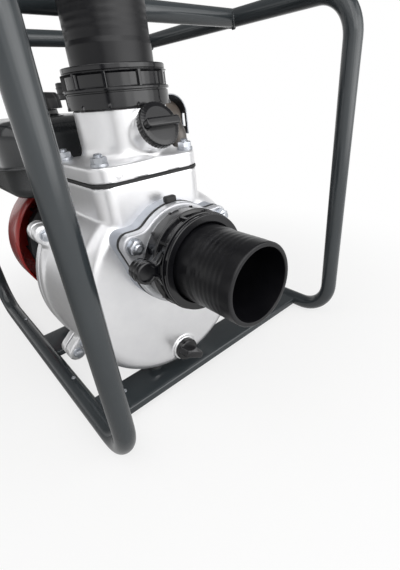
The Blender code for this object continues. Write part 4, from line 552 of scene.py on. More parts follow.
# Sand-cast aluminium of the engine: greyer and coarser, left as cast.
ENGINE_CASTING = Finish("sand_cast_aluminium", "cast_aluminium", "#B4B5B6", "#A3A4A6", (0.50, 0.64), 0.70,
                        30.0, 1.3, 0.06, Grain.CAST)
# Powder-coated steel tube: slate grey, semi-gloss, with a very shallow orange peel.
FRAME_PAINT = Finish("powder_coated_steel", "frame_paint", "#363B3E", "#313639", (0.18, 0.26), 0.0, 60.0,
                     1.8, 0.012, Grain.PEEL, 0.15)
# Injection-moulded nylon: near black, glossy on its edges, with faint flow marks.
NYLON = Finish("moulded_black_nylon", "black_plastic", "#0C0C0F", "#121216", (0.12, 0.22), 0.0, 18.0, 0.9,
               0.004, Grain.MOULDED, shine=0.50)
# The same nylon from a blasted mould, on the hose tails: near black and satin.
SATIN_NYLON = Finish("moulded_black_nylon_satin", "black_plastic", "#0E0E11", "#131316", (0.28, 0.38), 0.0,
                     18.0, 0.9, 0.004, Grain.MOULDED, shine=0.32)
# Moulded polypropylene of the engine's covers: black, fine leather-like texture.
TEXTURED_PLASTIC = Finish("textured_black_polypropylene", "black_plastic", "#1A1A1B", "#212122",
                          (0.42, 0.52), 0.0, 26.0, 1.0, 0.05, Grain.MOULDED)
# Moulded nitrile rubber: dull black, slightly bloomed.
RUBBER = Finish("moulded_nitrile_rubber", "rubber", "#1C1C1D", "#242425", (0.55, 0.70), 0.0, 12.0, 0.7,
                0.01, Grain.CAST)
# Zinc-plated steel: bright, faintly blue and clouded.
ZINC = Finish("steel_zinc_plated_passivated", "zinc_plated_steel", "#C6C9CE", "#AAAEB4", (0.28, 0.40), 1.0,
              5.0, 0.5, 0.004, Grain.DRAWN)
# Grey cast iron: dark, coarse and dull.
IRON = Finish("grey_cast_iron", "cast_iron", "#57585A", "#4B4B4C", (0.55, 0.70), 0.8, 14.0, 1.2, 0.06,
              Grain.CAST)
# Aluminised steel of the muffler, heat-stained: grey with brown patches where it has run hot.
HOT_STEEL = Finish("aluminised_steel_heat_stained", "muffler_steel", "#6B6865", "#514942", (0.42, 0.60),
                   0.75, 38.0, 0.9, 0.02, Grain.CAST)
# Baked enamel on sheet steel: deep red gloss with a trace of orange peel.
ENGINE_PAINT = Finish("baked_red_enamel", "engine_paint", "#A8221B", "#9B1D17", (0.24, 0.32), 0.0, 70.0,
                      2.2, 0.012, Grain.PEEL, 0.35)
# Baked enamel on the pressed tank: black gloss with a trace of orange peel.
TANK_PAINT = Finish("baked_black_enamel", "tank_paint", "#26282A", "#222426", (0.22, 0.30), 0.0, 70.0, 2.2,
                    0.012, Grain.PEEL, 0.35)
# Glazed alumina of the spark plug: warm white and glossy.
CERAMIC = Finish("glazed_alumina", "plug_ceramic", "#EAE7DF", "#E2DED4", (0.12, 0.18), 0.0, 10.0, 0.8,
                 0.003, Grain.PEEL, 0.3)


@dataclass
class Workshop:
    """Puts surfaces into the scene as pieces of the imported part."""

    frame: dict
    pieces: list[str] = field(default_factory=list)  # names of the pieces made so far

    def put(self, node: str, suffix: str, surface: Surface, finish: Finish, **look: float) -> None:
        """Make the piece that hides a solid, named for it with a suffix and shaped as add says."""
        self.add(f"{node}_{suffix}", node, surface, finish, replace=True, **look)

    def add(self, name: str, node: str, surface: Surface, finish: Finish, replace: bool = False,
            sharp: float = 38.0, wall: float = 0.0, tidy: bool = True) -> None:
        """Make a piece of a surface, dress it and let it ride.

        Args:
            name: Name of the piece.
            node: The solid that it stands for, or sits on.
            surface: Its surface in metres, in the part's frame.
            finish: Its finish.
            replace: Whether the solid is hidden.
            sharp: Angle in degrees past which an edge is sharp.
            wall: Thickness in millimetres that an open sheet gets.
            tidy: Whether doubled points are merged and faces turned outwards.
        """
        mesh = bpy.data.meshes.new(name)
        sizes = np.concatenate([np.full(len(f), f.shape[1]) for f in surface.faces])
        loops = np.concatenate([f.ravel() for f in surface.faces])
        mesh.vertices.add(len(surface.points))
        mesh.vertices.foreach_set("co", surface.points.astype(np.float32).ravel())
        mesh.loops.add(len(loops))
        mesh.loops.foreach_set("vertex_index", loops.astype(np.int32))
        mesh.polygons.add(len(sizes))
        mesh.polygons.foreach_set("loop_start", (np.cumsum(sizes) - sizes).astype(np.int32))
        mesh.update(calc_edges=True)
        if tidy:
            bm = bmesh.new()
            bm.from_mesh(mesh)
            bmesh.ops.remove_doubles(bm, verts=bm.verts, dist=MERGED)
            bmesh.ops.dissolve_degenerate(bm, edges=bm.edges, dist=MERGED / 2)
            bmesh.ops.recalc_face_normals(bm, faces=bm.faces)
            bm.to_mesh(mesh)
            bm.free()
        mesh.validate()
        mesh.shade_smooth()
        mesh.set_sharp_from_angle(angle=np.radians(sharp))
        mesh.materials.append(finish.material())
        piece = bpy.data.objects.new(name, mesh)
        bpy.context.scene.collection.objects.link(piece)
        if wall:
            solidify = piece.modifiers.new("Wall", "SOLIDIFY")
            solidify.thickness = wall * MM
            solidify.offset = -1.0
            solidify.use_even_offset = True
        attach(piece, self.frame["nodes"][node]["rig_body"])
        if replace:
            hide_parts(node)
        self.pieces.append(name)
        log.info("%s: %d points, %s", name, len(mesh.vertices), finish.name)

    def dress(self, finish: Finish, *nodes: str) -> None:
        """Give solids that stay in view a finish.

        Args:
            finish: The finish.
            nodes: Names of the solids.
        """
        for node in nodes:
            mesh = self.frame["nodes"][node].data
            mesh.materials.clear()
            mesh.materials.append(finish.material())
            log.info("%s keeps its solid, %s", node, finish.name)


CHAMFER_SLOPE = 0.58  # tangent of the 30 degrees at which hexagon corners are cut


def hexagon(width: float, count: int = 60) -> Array:
    """Radius of a hexagon of a width across flats, at equal turns."""
    return width / 2 / np.cos((turns(count) + np.pi / 6) % (np.pi / 3) - np.pi / 6)


def hex_body(width: float, low: float, high: float, chamfered_base: bool = False) -> Surface:
    """Hexagon prism whose corners are cut by a cone of 30 degrees: its radius at a turn is the hexagon's,
    and its edge drops from the face by the cone's slope times the reach beyond the flats.

    Args:
        width: Width across flats.
        low: Lower face.
        high: Upper face.
        chamfered_base: Whether the lower corners are cut too.

    Returns:
        The prism.
    """
    radius = hexagon(width)
    t = turns(len(radius))
    drop = CHAMFER_SLOPE * (radius - 0.49 * width)
    flat = np.full_like(radius, 0.48 * width)
    foot, face = np.full_like(radius, low), np.full_like(radius, high)
    levels = [(flat, foot), (radius, low + drop)] if chamfered_base else [(radius, foot)]
    levels += [(radius, high - drop), (flat, face)]
    rings = [np.stack((r * np.cos(t), r * np.sin(t), h), 1) for r, h in levels]
    return net(np.stack(rings), caps=True)


def threaded_rod(radius: float, low: float, high: float, pitch: float = 1.25) -> Surface:
    """Stud with a thread drawn as rings: the radius swings by a third of the pitch, and the tip is domed.

    Args:
        radius: Outside radius.
        low: Lower end.
        high: Tip.
        pitch: Spacing of the rings.

    Returns:
        The stud.
    """
    count = max(int((high - low) / pitch), 1)
    h = np.linspace(low, high - 0.8, 4 * count + 1)
    r = radius - pitch / 6 * (1 + np.cos(2 * np.pi * (h - low) / pitch))
    tip = [(radius - 0.7, high - 0.5), (radius - 1.3, high), (0, high)]
    return revolve([(0, low), *zip(r, h), *tip], 32)


def nut_and_washer(width: float, height: float, washer: float, thickness: float, tip: float) -> Surface:
    """Washer, chamfered nut and threaded stud end, stacked up from z = 0.

    Args:
        width: Nut across flats.
        height: Height of the nut.
        washer: Radius of the washer.
        thickness: Its thickness.
        tip: How far the stud stands out.

    Returns:
        The stack.
    """
    ring = slab(circle(washer, 48), 0, thickness, 0.35)
    split = rod(0.62 * width, thickness, thickness + 1.0, 36)
    top = thickness + height
    return gathered([ring, split, hex_body(width, thickness + 0.8, top, True),
                     threaded_rod(0.31 * width, top - 1.0, top + tip)])


def stud_nut() -> Surface:
    """Nut, washer and stud end of the 8 mm studs in the flange and the head."""
    return nut_and_washer(width=13.0, height=6.5, washer=8.2, thickness=1.6, tip=3.0)


def bolt_head(width: float, height: float, washer: float = 0.0) -> Surface:
    """Hexagon bolt head on a washer, with a shallow dish in its face.

    Args:
        width: Width across flats.
        height: Height of the head.
        washer: Radius of the washer, or nothing.

    Returns:
        The head.
    """
    base = 1.2 if washer else 0.0
    top = base + height
    dish = revolve([(0, top + 0.15), (0.28 * width, top + 0.15), (0.34 * width, top)], 36)
    shapes = [hex_body(width, base, top), dish]
    if washer:
        shapes.append(slab(circle(washer, 40), 0, base, 0.3))
    return gathered(shapes)


def pan_screw(radius: float, height: float) -> Surface:
    """Pan-head screw with a cross recess drawn as a dished centre.

    Args:
        radius: Radius of the head.
        height: Its height.

    Returns:
        The head.
    """
    profile = fillet([(radius, 0, 0), (radius, height, 0.6 * height), (0.45 * radius, height, 0.2),
                      (0.12 * radius, 0.45 * height, 0), (0, 0.45 * height, 0)], 4, closed=False)
    return revolve(np.vstack(((0, 0), profile)), 32)


@dataclass
class RollFrame:
    """Tube hoops, cross plates, top bars and rubber mounts."""

    tube: float = 11.0  # outside radius of the tube
    bend: float = 48.0  # bend radius on the tube's middle line
    fold: float = 3.2  # outside radius of the plates' folds
    sheet: float = 3.0  # thickness of the plates
    lip: float = 10.0  # depth of the folded lips
    bead: float = 2.1  # radius of the weld beads

    def build(self, shop: Workshop) -> None:
        """Make the hoops, plates, bars, mounts and screws.

        Args:
            shop: Where the pieces go.
        """
        for name in ("left_hoop", "right_hoop"):
            shop.put(name, "tube", self.hoop(name), FRAME_PAINT)
        for name in ("front_cross_plate", "rear_cross_plate"):
            shop.put(name, "pressing", self.plate(name), FRAME_PAINT)
        for name in ("front_top_bar", "rear_top_bar"):
            shop.put(name, "tube", self.bar(name), FRAME_PAINT)
        for name in ("mount_front_left", "mount_front_right", "mount_rear_left", "mount_rear_right"):
            shop.put(name, "rubber", self.mount(name), RUBBER)
            shop.add(f"{name}_plates", name, self.mount_plates(name), FRAME_PAINT)
        shop.add("frame_screws", "front_cross_plate", self.screws(), ZINC)

    def side(self) -> float:
        """From the machine's middle to the middle line of a skid."""
        return box_of("right_hoop")[1][0] - self.tube

    @staticmethod
    def across(reach: Array, section: Array, steps: int) -> Surface:
        """Bar across the machine: each point (y, z) of its section runs over its own reach in x."""
        share, wide = np.linspace(-1, 1, steps)[:, None], np.ones((steps, 1))
        return net(np.stack((share * reach, wide * section[:, 0], wide * section[:, 1]), -1), caps=True)

    def hoop(self, node: str) -> Surface:
        """Closed tube on a rounded rectangle.

        Args:
            node: Name of the solid.

        Returns:
            The hoop.
        """
        low, high = box_of(node)
        middle, size = (low + high) / 2, high - low - 2 * self.tube
        line = rectangle(size[1], size[2], self.bend, 16) + middle[1:]
        path = np.column_stack((np.full(len(line), middle[0]), line))
        return sweep(circle(self.tube, 40), path, (1, 0, 0), looped=True).moved(plan_frame(0, 0, 0))

    def plate(self, node: str) -> Surface:
        """Folded channel whose ends meet the round skids: each point of its section reaches as far as the
        room that the tubes leave at that height.

        Args:
            node: Name of the solid.

        Returns:
            The plate.
        """
        low, high = box_of(node)
        y0, y1, top, foot = low[1], high[1], high[2], high[2] - self.lip
        inner = self.fold - self.sheet + 0.5
        in0, in1, under = y0 + self.sheet, y1 - self.sheet, top - self.sheet
        section = fillet([(y0, foot, 0.6), (in0, foot, 0.6), (in0, under, inner), (in1, under, inner),
                          (in1, foot, 0.6), (y1, foot, 0.6), (y1, top, self.fold), (y0, top, self.fold)], 5)
        room = self.side() - np.sqrt(np.maximum(self.tube ** 2 - (section[:, 1] - self.tube) ** 2, 1.0))
        return self.across(room, section, 25).moved(plan_frame(0, 0, 0))

    def bar(self, node: str) -> Surface:
        """Cross tube with coped ends and a weld bead along the lower part of each saddle.

        Args:
            node: Name of the solid.

        Returns:
            The bar.
        """
        low, high = box_of(node)
        y, z = (low[1] + high[1]) / 2, (low[2] + high[2]) / 2
        ring = circle(self.tube, 40)
        room = self.side() - np.sqrt(np.maximum(self.tube ** 2 - ring[:, 1] ** 2, 0.0)) + 0.5
        shapes = [self.across(room, ring + (y, z), 17)]
        t = np.linspace(np.radians(-205), np.radians(25), 120)
        reach = self.tube + 0.3
        saddle = self.side() - np.sqrt(np.maximum(self.tube ** 2 - (reach * np.sin(t)) ** 2, 0.0))
        swell = np.minimum(1, 6 * np.sin(np.linspace(0, np.pi, 120)))
        ripple = self.bead * swell * (1 + 0.13 * np.sin(34 * t))
        section = circle(1.0, 14)[None] * np.maximum(ripple, 0.15)[:, None, None]
        for sign in (-1, 1):
            path = np.stack((sign * saddle, y + reach * np.cos(t), z + reach * np.sin(t)), 1)
            shapes.append(sweep(section, path, (1, 0, 0)))
        return gathered(shapes).moved(plan_frame(0, 0, 0))

    def mount(self, node: str) -> Surface:
        """Waisted rubber block: the radius follows a cosine between its two plates.

        Args:
            node: Name of the solid.

        Returns:
            The block.
        """
        low, high = box_of(node)
        radius, height = (high[0] - low[0]) / 2, high[2] - low[2]
        h = np.linspace(0, 1, 17)
        waist = radius - 2.0 * np.sin(np.pi * h) ** 0.8
        profile = np.column_stack((np.r_[0, waist, 0], np.r_[0, h, 1] * height))
        return revolve(profile, 40).moved(plan_frame(*((low + high) / 2)[:2], low[2]))

    def mount_plates(self, node: str) -> Surface:
        """Thin steel washers above and below a mount.

        Args:
            node: Name of the solid.

        Returns:
            Both washers.
        """
        low, high = box_of(node)
        ring, tall = circle((high[0] - low[0]) / 2 + 0.6, 40), high[2] - low[2]
        discs = [slab(ring, a, b, 0.3) for a, b in ((-0.2, 0.9), (tall - 0.9, tall + 0.2))]
        return gathered(discs).moved(plan_frame(*((low + high) / 2)[:2], low[2]))

    def screws(self) -> Surface:
        """Small screws in the plates and in the skids' tops.

        Returns:
            All screws.
        """
        places = [(x, y, 16.5) for x in (-142.0, 142.0) for y in (-116.5, 59.5)]
        places += [(x, y, 21.8) for x in (-180.0, 180.0) for y in (-50.5, 150.0)]
        return gathered([pan_screw(2.6, 1.6).moved(plan_frame(*place)) for place in places])


@dataclass
class HoseCoupling:
    """Screw ring with a grip lug, and the hose tail that it holds. Its z runs out from the shoulder."""

    prefix: str  # start of the node names
    frame: Array  # frame on the shoulder
    lug_turn: float  # angle of the grip lug in degrees
    band: float = 49.8  # radius of the ring's rear band
    ridge: float = 51.0  # radius of the ridge in front of it
    middle: float = 50.2  # radius of the ribs between the pockets
    lip: float = 48.8  # radius of the ring's front lip
    pocket: float = 2.8  # depth of the pockets
    ridge_start: float = 14.4  # height where the ridge begins
    rim: float = 30.6  # height where the lip begins
    ring_front: float = 35.1  # height of the ring
    windows: int = 10  # number of pockets round the ring
    teeth: int = 12  # number of small teeth on the band's rear edge
    rib_turn: float = -64.5  # angle from the lug to the first rib, in degrees
    lug_reach: float = 63.0  # from the axis to the middle of the lug's round end
    lug_round: float = 10.5  # radius of that end
    lug_low: float = 11.0  # height of the lug's rear face
    lug_high: float = 26.8  # height of its front face
    hose: float = 38.5  # outside radius of the hose tail
    bore: float = 34.0  # radius of its bore
    root: float = 39.4  # radius of the tail inside the ring
    mouth: float = 103.7  # height of the tail's mouth
    ribs: int = 6  # number of ribs on the tail
    thread: float = 43.7  # radius of the ring's thread
    # height where the ring's inner collar begins, just in front of the tail's foot
    collar: float = 26.9

    def build(self, shop: Workshop) -> None:
        """Make the ring with its lug, and the tail.

        Args:
            shop: Where the pieces go.
        """
        ring = self.ring_surface() + self.lug()
        for part, surface, finish in (("ring", ring, NYLON), ("tail", self.tail(), SATIN_NYLON)):
            node = f"{self.prefix}_{part}"
            shop.put(node, "moulding", surface.moved(self.frame), finish, sharp=30)

    def ring_surface(self) -> Surface:
        """Ring turned from a profile, with pockets pressed into its middle band and teeth on its rear edge:
        where both the turn and the height lie in one, the radius drops or grows over a short ramp.

        Returns:
            The ring.
        """
        start, rim, front = self.ridge_start, self.rim, self.ring_front
        band, ridge, middle, lip = self.band, self.ridge, self.middle, self.lip
        hole = self.root + 0.6
        outer = fillet([(self.thread, 0.4, 0), (band, 0.4, 0.5), (band, start - 1.4, 0.3),
                        (band - 1.0, start - 1.2, 0.2), (band - 1.0, start, 0.2), (ridge, start, 0.5),
                        (ridge, start + 2.2, 0.5), (middle, start + 2.4, 0.2), (middle, rim - 0.9, 0.4),
                        (lip - 0.9, rim - 0.6, 0.2), (lip - 0.9, rim, 0.2), (lip, rim + 0.2, 0.5),
                        (lip, front, 0.9), (hole + 1.6, front, 1.0), (hole, front - 2.0, 0),
                        (hole, self.collar, 0), (self.thread, self.collar, 0)], 4)
        chord, shell = 0.8, 46.0
        pieces = [max(int(np.hypot(*edge) / chord), 1) for edge in np.roll(outer, -1, 0) - outer]
        ends = zip(outer, np.roll(outer, -1, 0), pieces)
        fine = np.concatenate([np.linspace(a, b, count if a[0] > shell else 1, endpoint=False)
                               for a, b, count in ends])
        height = fine[:, 1]
        shown = fine[:, 0] > shell + 0.5
        round_ring = (turns(600) - np.radians(self.lug_turn + self.rib_turn)) / (2 * np.pi)
        pocket = np.clip((0.455 - np.abs((round_ring * self.windows) % 1.0 - 0.5)) / 0.012, 0, 1)
        tooth = np.clip((0.06 - np.abs((round_ring * self.teeth + 0.5) % 1.0 - 0.5)) / 0.02, 0, 1)
        inside = np.minimum(height - start - 3.0, rim - 1.8 - height)
        open_band, rear = (shown * np.clip(run / 0.4, 0, 1) for run in (inside, 3.6 - height))
        dent, bump = self.pocket * open_band[:, None] * pocket, 1.3 * rear[:, None] * tooth
        return lobed(fine, fine[:, :1] - dent + bump, looped=True)

    def lug(self) -> Surface:
        """Dog-bone grip: its half-width falls with the square of the distance from the ring to a neck, then
        follows the round end. Two ridges run round its wall, and its face is sunk inside a bevelled rim.

        Returns:
            The lug.
        """
        root, waist, flare, run = 46.2, 6.8, 7.0, 8.0
        neck = self.lug_reach - run
        x = np.linspace(root, neck, 12)
        width = waist + flare * ((neck - x) / run) ** 2
        t = np.radians(np.linspace(132, -132, 40))
        end = np.stack((self.lug_reach + self.lug_round * np.cos(t), self.lug_round * np.sin(t)), 1)
        outline = np.vstack((np.stack((x, width), 1), end, np.stack((x, -width), 1)[::-1]))[::-1]
        low, high = self.lug_low, self.lug_high
        levels = [(1.0, low), (0.0, low + 1.0)]
        for foot in (low + 5.0, low + 10.0):
            levels += [(0.0, foot), (-0.5, foot + 0.3), (-0.5, foot + 1.2), (0.0, foot + 1.5)]
        levels += [(0.0, high - 1.3), (0.3, high - 0.5), (1.2, high), (2.4, high), (2.8, high - 0.4),
                   (3.1, high - 2.6)]
        return tiers(outline, levels).moved(turned_frame(np.radians(self.lug_turn)))

    def tail(self) -> Surface:
        """Hose tail turned from a profile: a smooth root, then shallow ribs whose radius swings by a
        cosine, and a rounded mouth.

        Returns:
            The tail.
        """
        first, last = self.ring_front + 24.0, self.mouth - 9.0
        h = np.linspace(first, last, 14 * self.ribs + 1)
        swing = 0.06 * (1 - np.cos(2 * np.pi * self.ribs * (h - first) / (last - first)))
        valley = self.hose + 0.1
        ribs = np.column_stack((valley + swing, h))
        foot, low, high = self.thread - 0.9, 20.8, self.collar - 0.7
        base = fillet([(self.bore, low, 0), (foot, low, 0.4), (foot, high, 0.4), (self.root, high, 0.8),
                       (self.root, self.ring_front + 16.0, 6.0), (valley, self.ring_front + 20.0, 4.0),
                       (valley, first, 0)], 5, closed=False)
        mouth = fillet([(self.hose, last + 1.0, 0), (self.hose, self.mouth, 1.5),
                        (self.bore, self.mouth, 0.9), (self.bore, self.mouth - 20.0, 0)], 5, closed=False)
        return revolve(np.vstack((base[:-1], ribs, mouth)), 120, looped=True)


EAR_REACH, EAR_TURN = 61.0, 26.0  # from the suction axis to a stud, and its degrees above the level
PORT = 41.0  # radius of the suction port through gasket, pad and casing
OUTLINE_POINTS = 240  # points round the flange
SWAPPED = np.eye(4)[[0, 2, 1, 3]]  # exchanges y and z


def flange_distance(x: Array, y: Array, radius: float = 53.5, ear: float = EAR_REACH,
                    ear_round: float = 10.5, angle: float = EAR_TURN, corner: float = 43.5) -> Array:
    """Distance to the flange's outline: a circle, and on each side an ear that is the tangent hull of the
    circle and a small one, cut above by a line from the small circle to a corner on the large one.

    Args:
        x: Distance right of the axis.
        y: Distance above it.
        radius: Radius of the flange.
        ear: From the axis to an ear's middle.
        ear_round: Radius of an ear.
        angle: Angle of an ear above the level, in degrees.
        corner: Angle of the corner above it, in degrees.

    Returns:
        Signed distances.
    """
    x = np.abs(x)
    along, up = heading(angle)
    a, b = x * along + y * up, np.abs(y * along - x * up)
    lean = (radius - ear_round) / ear
    flat = np.sqrt(1 - lean ** 2)
    k = flat * a - lean * b
    ends = np.hypot(a - ear, b) - ear_round
    side = np.where(k > flat * ear, ends, flat * b + lean * a - radius)
    hull = np.where(k < 0, np.hypot(a, b) - radius, side)
    top = np.array(heading(corner)) * radius
    back = top - ear * np.array([along, up])
    length = np.hypot(*back)
    slope = np.arctan2(back[1], back[0]) - np.arccos(ear_round / length)
    above = (x - top[0]) * np.cos(slope) + (y - top[1]) * np.sin(slope)
    return blend(np.minimum(np.maximum(hull, above), ends), np.hypot(x, y) - radius, 5.0)


def flange_outline(grow: float) -> Array:
    """Outline of the flange grown by a distance, found along equal turns by stepping outwards on its field.

    Args:
        grow: How far it is grown.

    Returns:
        Points of shape (n, 2).
    """
    t = turns(OUTLINE_POINTS)
    r = np.full_like(t, 40.0)
    for _ in range(40):
        r = r - 0.8 * (flange_distance(r * np.cos(t), r * np.sin(t)) - grow)
    return np.stack((r * np.cos(t), r * np.sin(t)), 1)


def ear_places() -> list[tuple[float, float]]:
    """Places of the two flange studs about the suction axis."""
    along, up = EAR_REACH * np.array(heading(EAR_TURN))
    return [(-along, up), (along, up)]


def gasket_ring(outer: Array, hole: Array, draw: float, gap: float = 0.3, thickness: float = 3.0,
                edge: float = 0.6) -> Surface:
    """Flat gasket below z = 0 with rounded outer edges.

    Args:
        outer: Outline.
        hole: Outline of its opening, with as many points.
        draw: How far the outline is drawn in on both faces.
        gap: Distance from z = 0.
        thickness: Thickness.
        edge: Height of the rounding.

    Returns:
        The gasket.
    """
    face, top, low = draw_in(outer, draw), -gap, -gap - thickness
    return stacked([(face, top), (outer, top - edge), (outer, low + edge), (face, low), (hole, low),
                    (hole, top)], looped=True)


@dataclass
class SuctionFlange:
    """Flange on the casing's pad with its gasket, studs and nuts. Its z comes forward from the gasket."""

    frame: Array  # frame on the flange's seat
    thickness: float = 9.0  # thickness of the flange
    shoulder: float = 46.0  # radius of the shoulder that the ring screws up to
    rise: float = 4.0  # height of the shoulder above the flange
    spigot: float = 43.0  # radius of the threaded spigot
    spigot_length: float = 17.0  # length of the spigot
    bore: float = 34.0  # radius of the bore
    spot: float = 9.4  # radius of the spot-faces under the washers

    def shape(self, p: Array) -> Array:
        """Distance field: the eared plate with round edges, blended to the shoulder, plus the spigot, less
        the bore and the two spot-faces under the washers.

        Args:
            p: Points of shape (..., 3).

        Returns:
            Signed distances.
        """
        x, y, z = p[..., 0], p[..., 1], p[..., 2]
        reach = np.hypot(x, y)
        plate = meet(flange_distance(x, y), z - self.thickness, 1.7)
        top = self.thickness + self.rise
        collar = meet(reach - self.shoulder, z - top, 0.7)
        body = blend(plate, collar, 3.0)
        body = np.minimum(body, np.maximum(reach - self.spigot, z - top - self.spigot_length))
        body = meet(body, -z, 0.5)
        faces = np.min([np.hypot(x - ex, y - ey) for ex, ey in ear_places()], 0) - self.spot
        body = np.maximum(body, -np.maximum(faces, self.thickness - 0.05 - z))
        return np.maximum(body, self.bore - reach)

    def gasket_surface(self) -> Surface:
        """Gasket with a moulded tab on top: the flange's outline, grown a little, with rounded edges.

        Returns:
            The gasket.
        """
        sheet = gasket_ring(flange_outline(0.55), circle(PORT, OUTLINE_POINTS), 0.8)
        tab = slab(rectangle(13.0, 7.5, 2.4) + (0, -1.8), 54.2, 60.0, 2.0, 0.4)
        return sheet + tab.moved(SWAPPED)

    def build(self, shop: Workshop) -> None:
        """Make the flange, the gasket and the studs.

        Args:
            shop: Where the pieces go.
        """
        top = self.thickness + self.rise + self.spigot_length
        flange = skin(self.shape, (-68, -56, 0), (68, 56, top), 1.05)
        shop.put("suction_flange", "casting", flange.moved(self.frame), DIE_CASTING, sharp=60, tidy=False)
        shop.put("suction_gasket", "moulding", self.gasket_surface().moved(self.frame), RUBBER)
        for name, (x, y) in zip(("flange_stud_left", "flange_stud_right"), ear_places()):
            nut = stud_nut() + threaded_rod(4.0, -21.0, 2.0)
            place = self.frame @ turned_frame(0.2, x, y, self.thickness)
            shop.put(name, "nut", nut.moved(place), ZINC)


@dataclass
class PumpCasing:
    """Cast casing, a round chamber blended into a square neck, with its rear cover and drain plug. Its z
    comes forward from the rear face, and y is measured from the suction axis."""

    frame: Array  # frame on the casing's rear face
    drop: float = 49.0  # from the suction axis down to the crankshaft's
    radius: float = 114.0  # radius of the chamber
    depth: float = 103.5  # depth of the casing without its pad
    front_edge: float = 18.0  # radius of the front edge
    width: float = 122.0  # width of the neck
    shift: float = -4.0  # sideways shift of the neck
    top: float = 77.0  # height of the neck's top face
    pad: float = 12.0  # height of the pad
    wall: float = 6.0  # thickness of the walls
    rim: float = 2.6  # how far the rear rim stands out
    lug: float = 11.5  # radius of the bolt lugs
    lug_circle: float = 121.0  # from the crankshaft's axis to the lugs
    # angle of each lug in degrees, and how far out its last bolt sits
    lug_ends: tuple[tuple[float, float], ...] = ((37, 121.0), (143, 121.0), (220, 135.0), (320, 135.0))
    drain: float = 140.0  # from the suction axis down to the drain
    drain_boss: float = 3.0  # height of the drain's boss

    def lugs(self, x: Array, y: Array) -> Array:
        """Distance in plan to the bolt lugs: round ones above, and long ones below as a line with a radius.

        Args:
            x: Distance right of the crankshaft.
            y: Distance above it.

        Returns:
            Signed distances.
        """
        found = []
        for degrees, reach in self.lug_ends:
            c, s = heading(degrees)
            along = np.clip(x * c + y * s, self.lug_circle, reach)
            found.append(np.hypot(x - along * c, y - along * s) - self.lug)
        return np.min(found, 0)

    def shape(self, p: Array) -> Array:
        """Distance field: drum and neck with one round front edge, blended where they meet, with the rear
        rim, lugs, foot and drain boss blended on, less the rooms inside and the bores.

        Args:
            p: Points of shape (..., 3).

        Returns:
            Signed distances.
        """
        x, y, z = p[..., 0], p[..., 1], p[..., 2]
        low = y + self.drop
        reach = np.hypot(x, low)
        aside = np.abs(x - self.shift) - self.width / 2
        sides = blend(reach - self.radius, np.maximum(aside, -low), 2.2)
        body = meet(meet(sides, z - self.depth, self.front_edge), y - self.top, 0.9)
        plan = blend(reach - self.radius, np.maximum(np.maximum(aside, y - self.top + self.rim), -low), 6.0)
        edge = meet(plan - self.rim, np.abs(z - 5.5) - 5.5, 2.4)
        body = blend(body, edge, 4.0)
        body = blend(body, meet(self.lugs(x, low), np.abs(z - 7.0) - 7.0, 2.0), 7.0)
        foot = meet(meet(np.abs(x) - 39.0, np.abs(z - 68.8) - 10.0, 4.0), -164.5 - y, 1.0)
        body = blend(body, np.maximum(foot, y + 120.0), 5.0)
        drain = np.hypot(x, y + self.drain)
        boss = meet(drain - 16.5, z - self.depth - self.drain_boss, 1.0)
        body = blend(body, np.maximum(boss, 82.0 - z), 2.0)
        body = meet(body, -z, 1.2)
        room = meet(reach - self.radius + self.wall, z - self.depth + 8.4, 10.0)
        space = np.maximum(np.maximum(aside + self.wall, np.abs(z - 50.0) - 44.0), -low)
        inside = np.minimum(room, space)
        inside = np.minimum(inside, np.maximum(np.hypot(x, y) - PORT, 80.0 - z))
        inside = np.minimum(inside, np.maximum(drain - 8.4, 75.0 - z))
        return np.maximum(body, -inside)

    def pad_surface(self) -> Surface:
        """Pad under the flange: the flange's outline, wider at its foot by a draft, with a broken top edge.

        Returns:
            The pad.
        """
        tall, foot = self.depth + self.pad, self.depth - 3.0
        hole = circle(PORT, OUTLINE_POINTS)
        return stacked([(flange_outline(-0.4), tall), (flange_outline(0.0), tall - 0.4),
                        (flange_outline(0.9), foot), (hole, foot), (hole, tall)], looped=True)

    def cover(self) -> Surface:
        """Rear cover turned from a stepped profile, with the matching lugs.

        Returns:
            The cover.
        """
        profile = fillet([
            (17.3, 0, 0), (self.radius + self.rim, 0, 0.8), (self.radius + self.rim, -10.5, 2.5),
            (86, -14, 4), (74, -24.8, 2.5), (13.6, -24.8, 0.6), (13.6, -10, 0), (17.3, -10, 0)], 5)
        parts = [revolve(profile, 120, looped=True)]
        for degrees, reach in self.lug_ends:
            ear = slab(capsule(max(reach - self.lug_circle, 0.01), self.lug), -10.8, -0.4, 1.6, 0.6)
            place = turned_frame(np.radians(degrees)) @ turned_frame(0, self.lug_circle)
            parts.append(ear.moved(place))
        return gathered(parts)

    def bolts(self) -> Surface:
        """Bolt heads on the lugs, each stopped at a turn of its own.

        Returns:
            All heads.
        """
        heads = []
        for degrees, end in self.lug_ends:
            for reach in sorted({self.lug_circle, end}):
                c, s = heading(degrees)
                place = turned_frame(0.3 + degrees, reach * c, reach * s - self.drop, 14.0)
                heads.append(bolt_head(10.0, 5.0, 6.6).moved(place))
        return gathered(heads)

    def drain_plug(self) -> Surface:
        """Plug with a domed head and a tapered finger blade. The blade's outline widens towards its top.

        Returns:
            The plug.
        """
        head = turned([(0, 0, 0), (14.5, 0, 0.6), (14.5, 5.2, 1.2), (12.6, 7.0, 1.6), (0, 8.0, 0)], 5, 64)
        blade = fillet([(-13.8, 3.0, 0), (13.8, 3.0, 0), (14.4, 21.4, 4.0), (-14.4, 21.4, 4.0)], 5)
        fin = slab(blade, -4.0, 4.0, 1.5).moved(turned_frame(np.radians(-32)) @ SWAPPED)
        return gathered([head, rod(8, -12, 1, 40), fin])

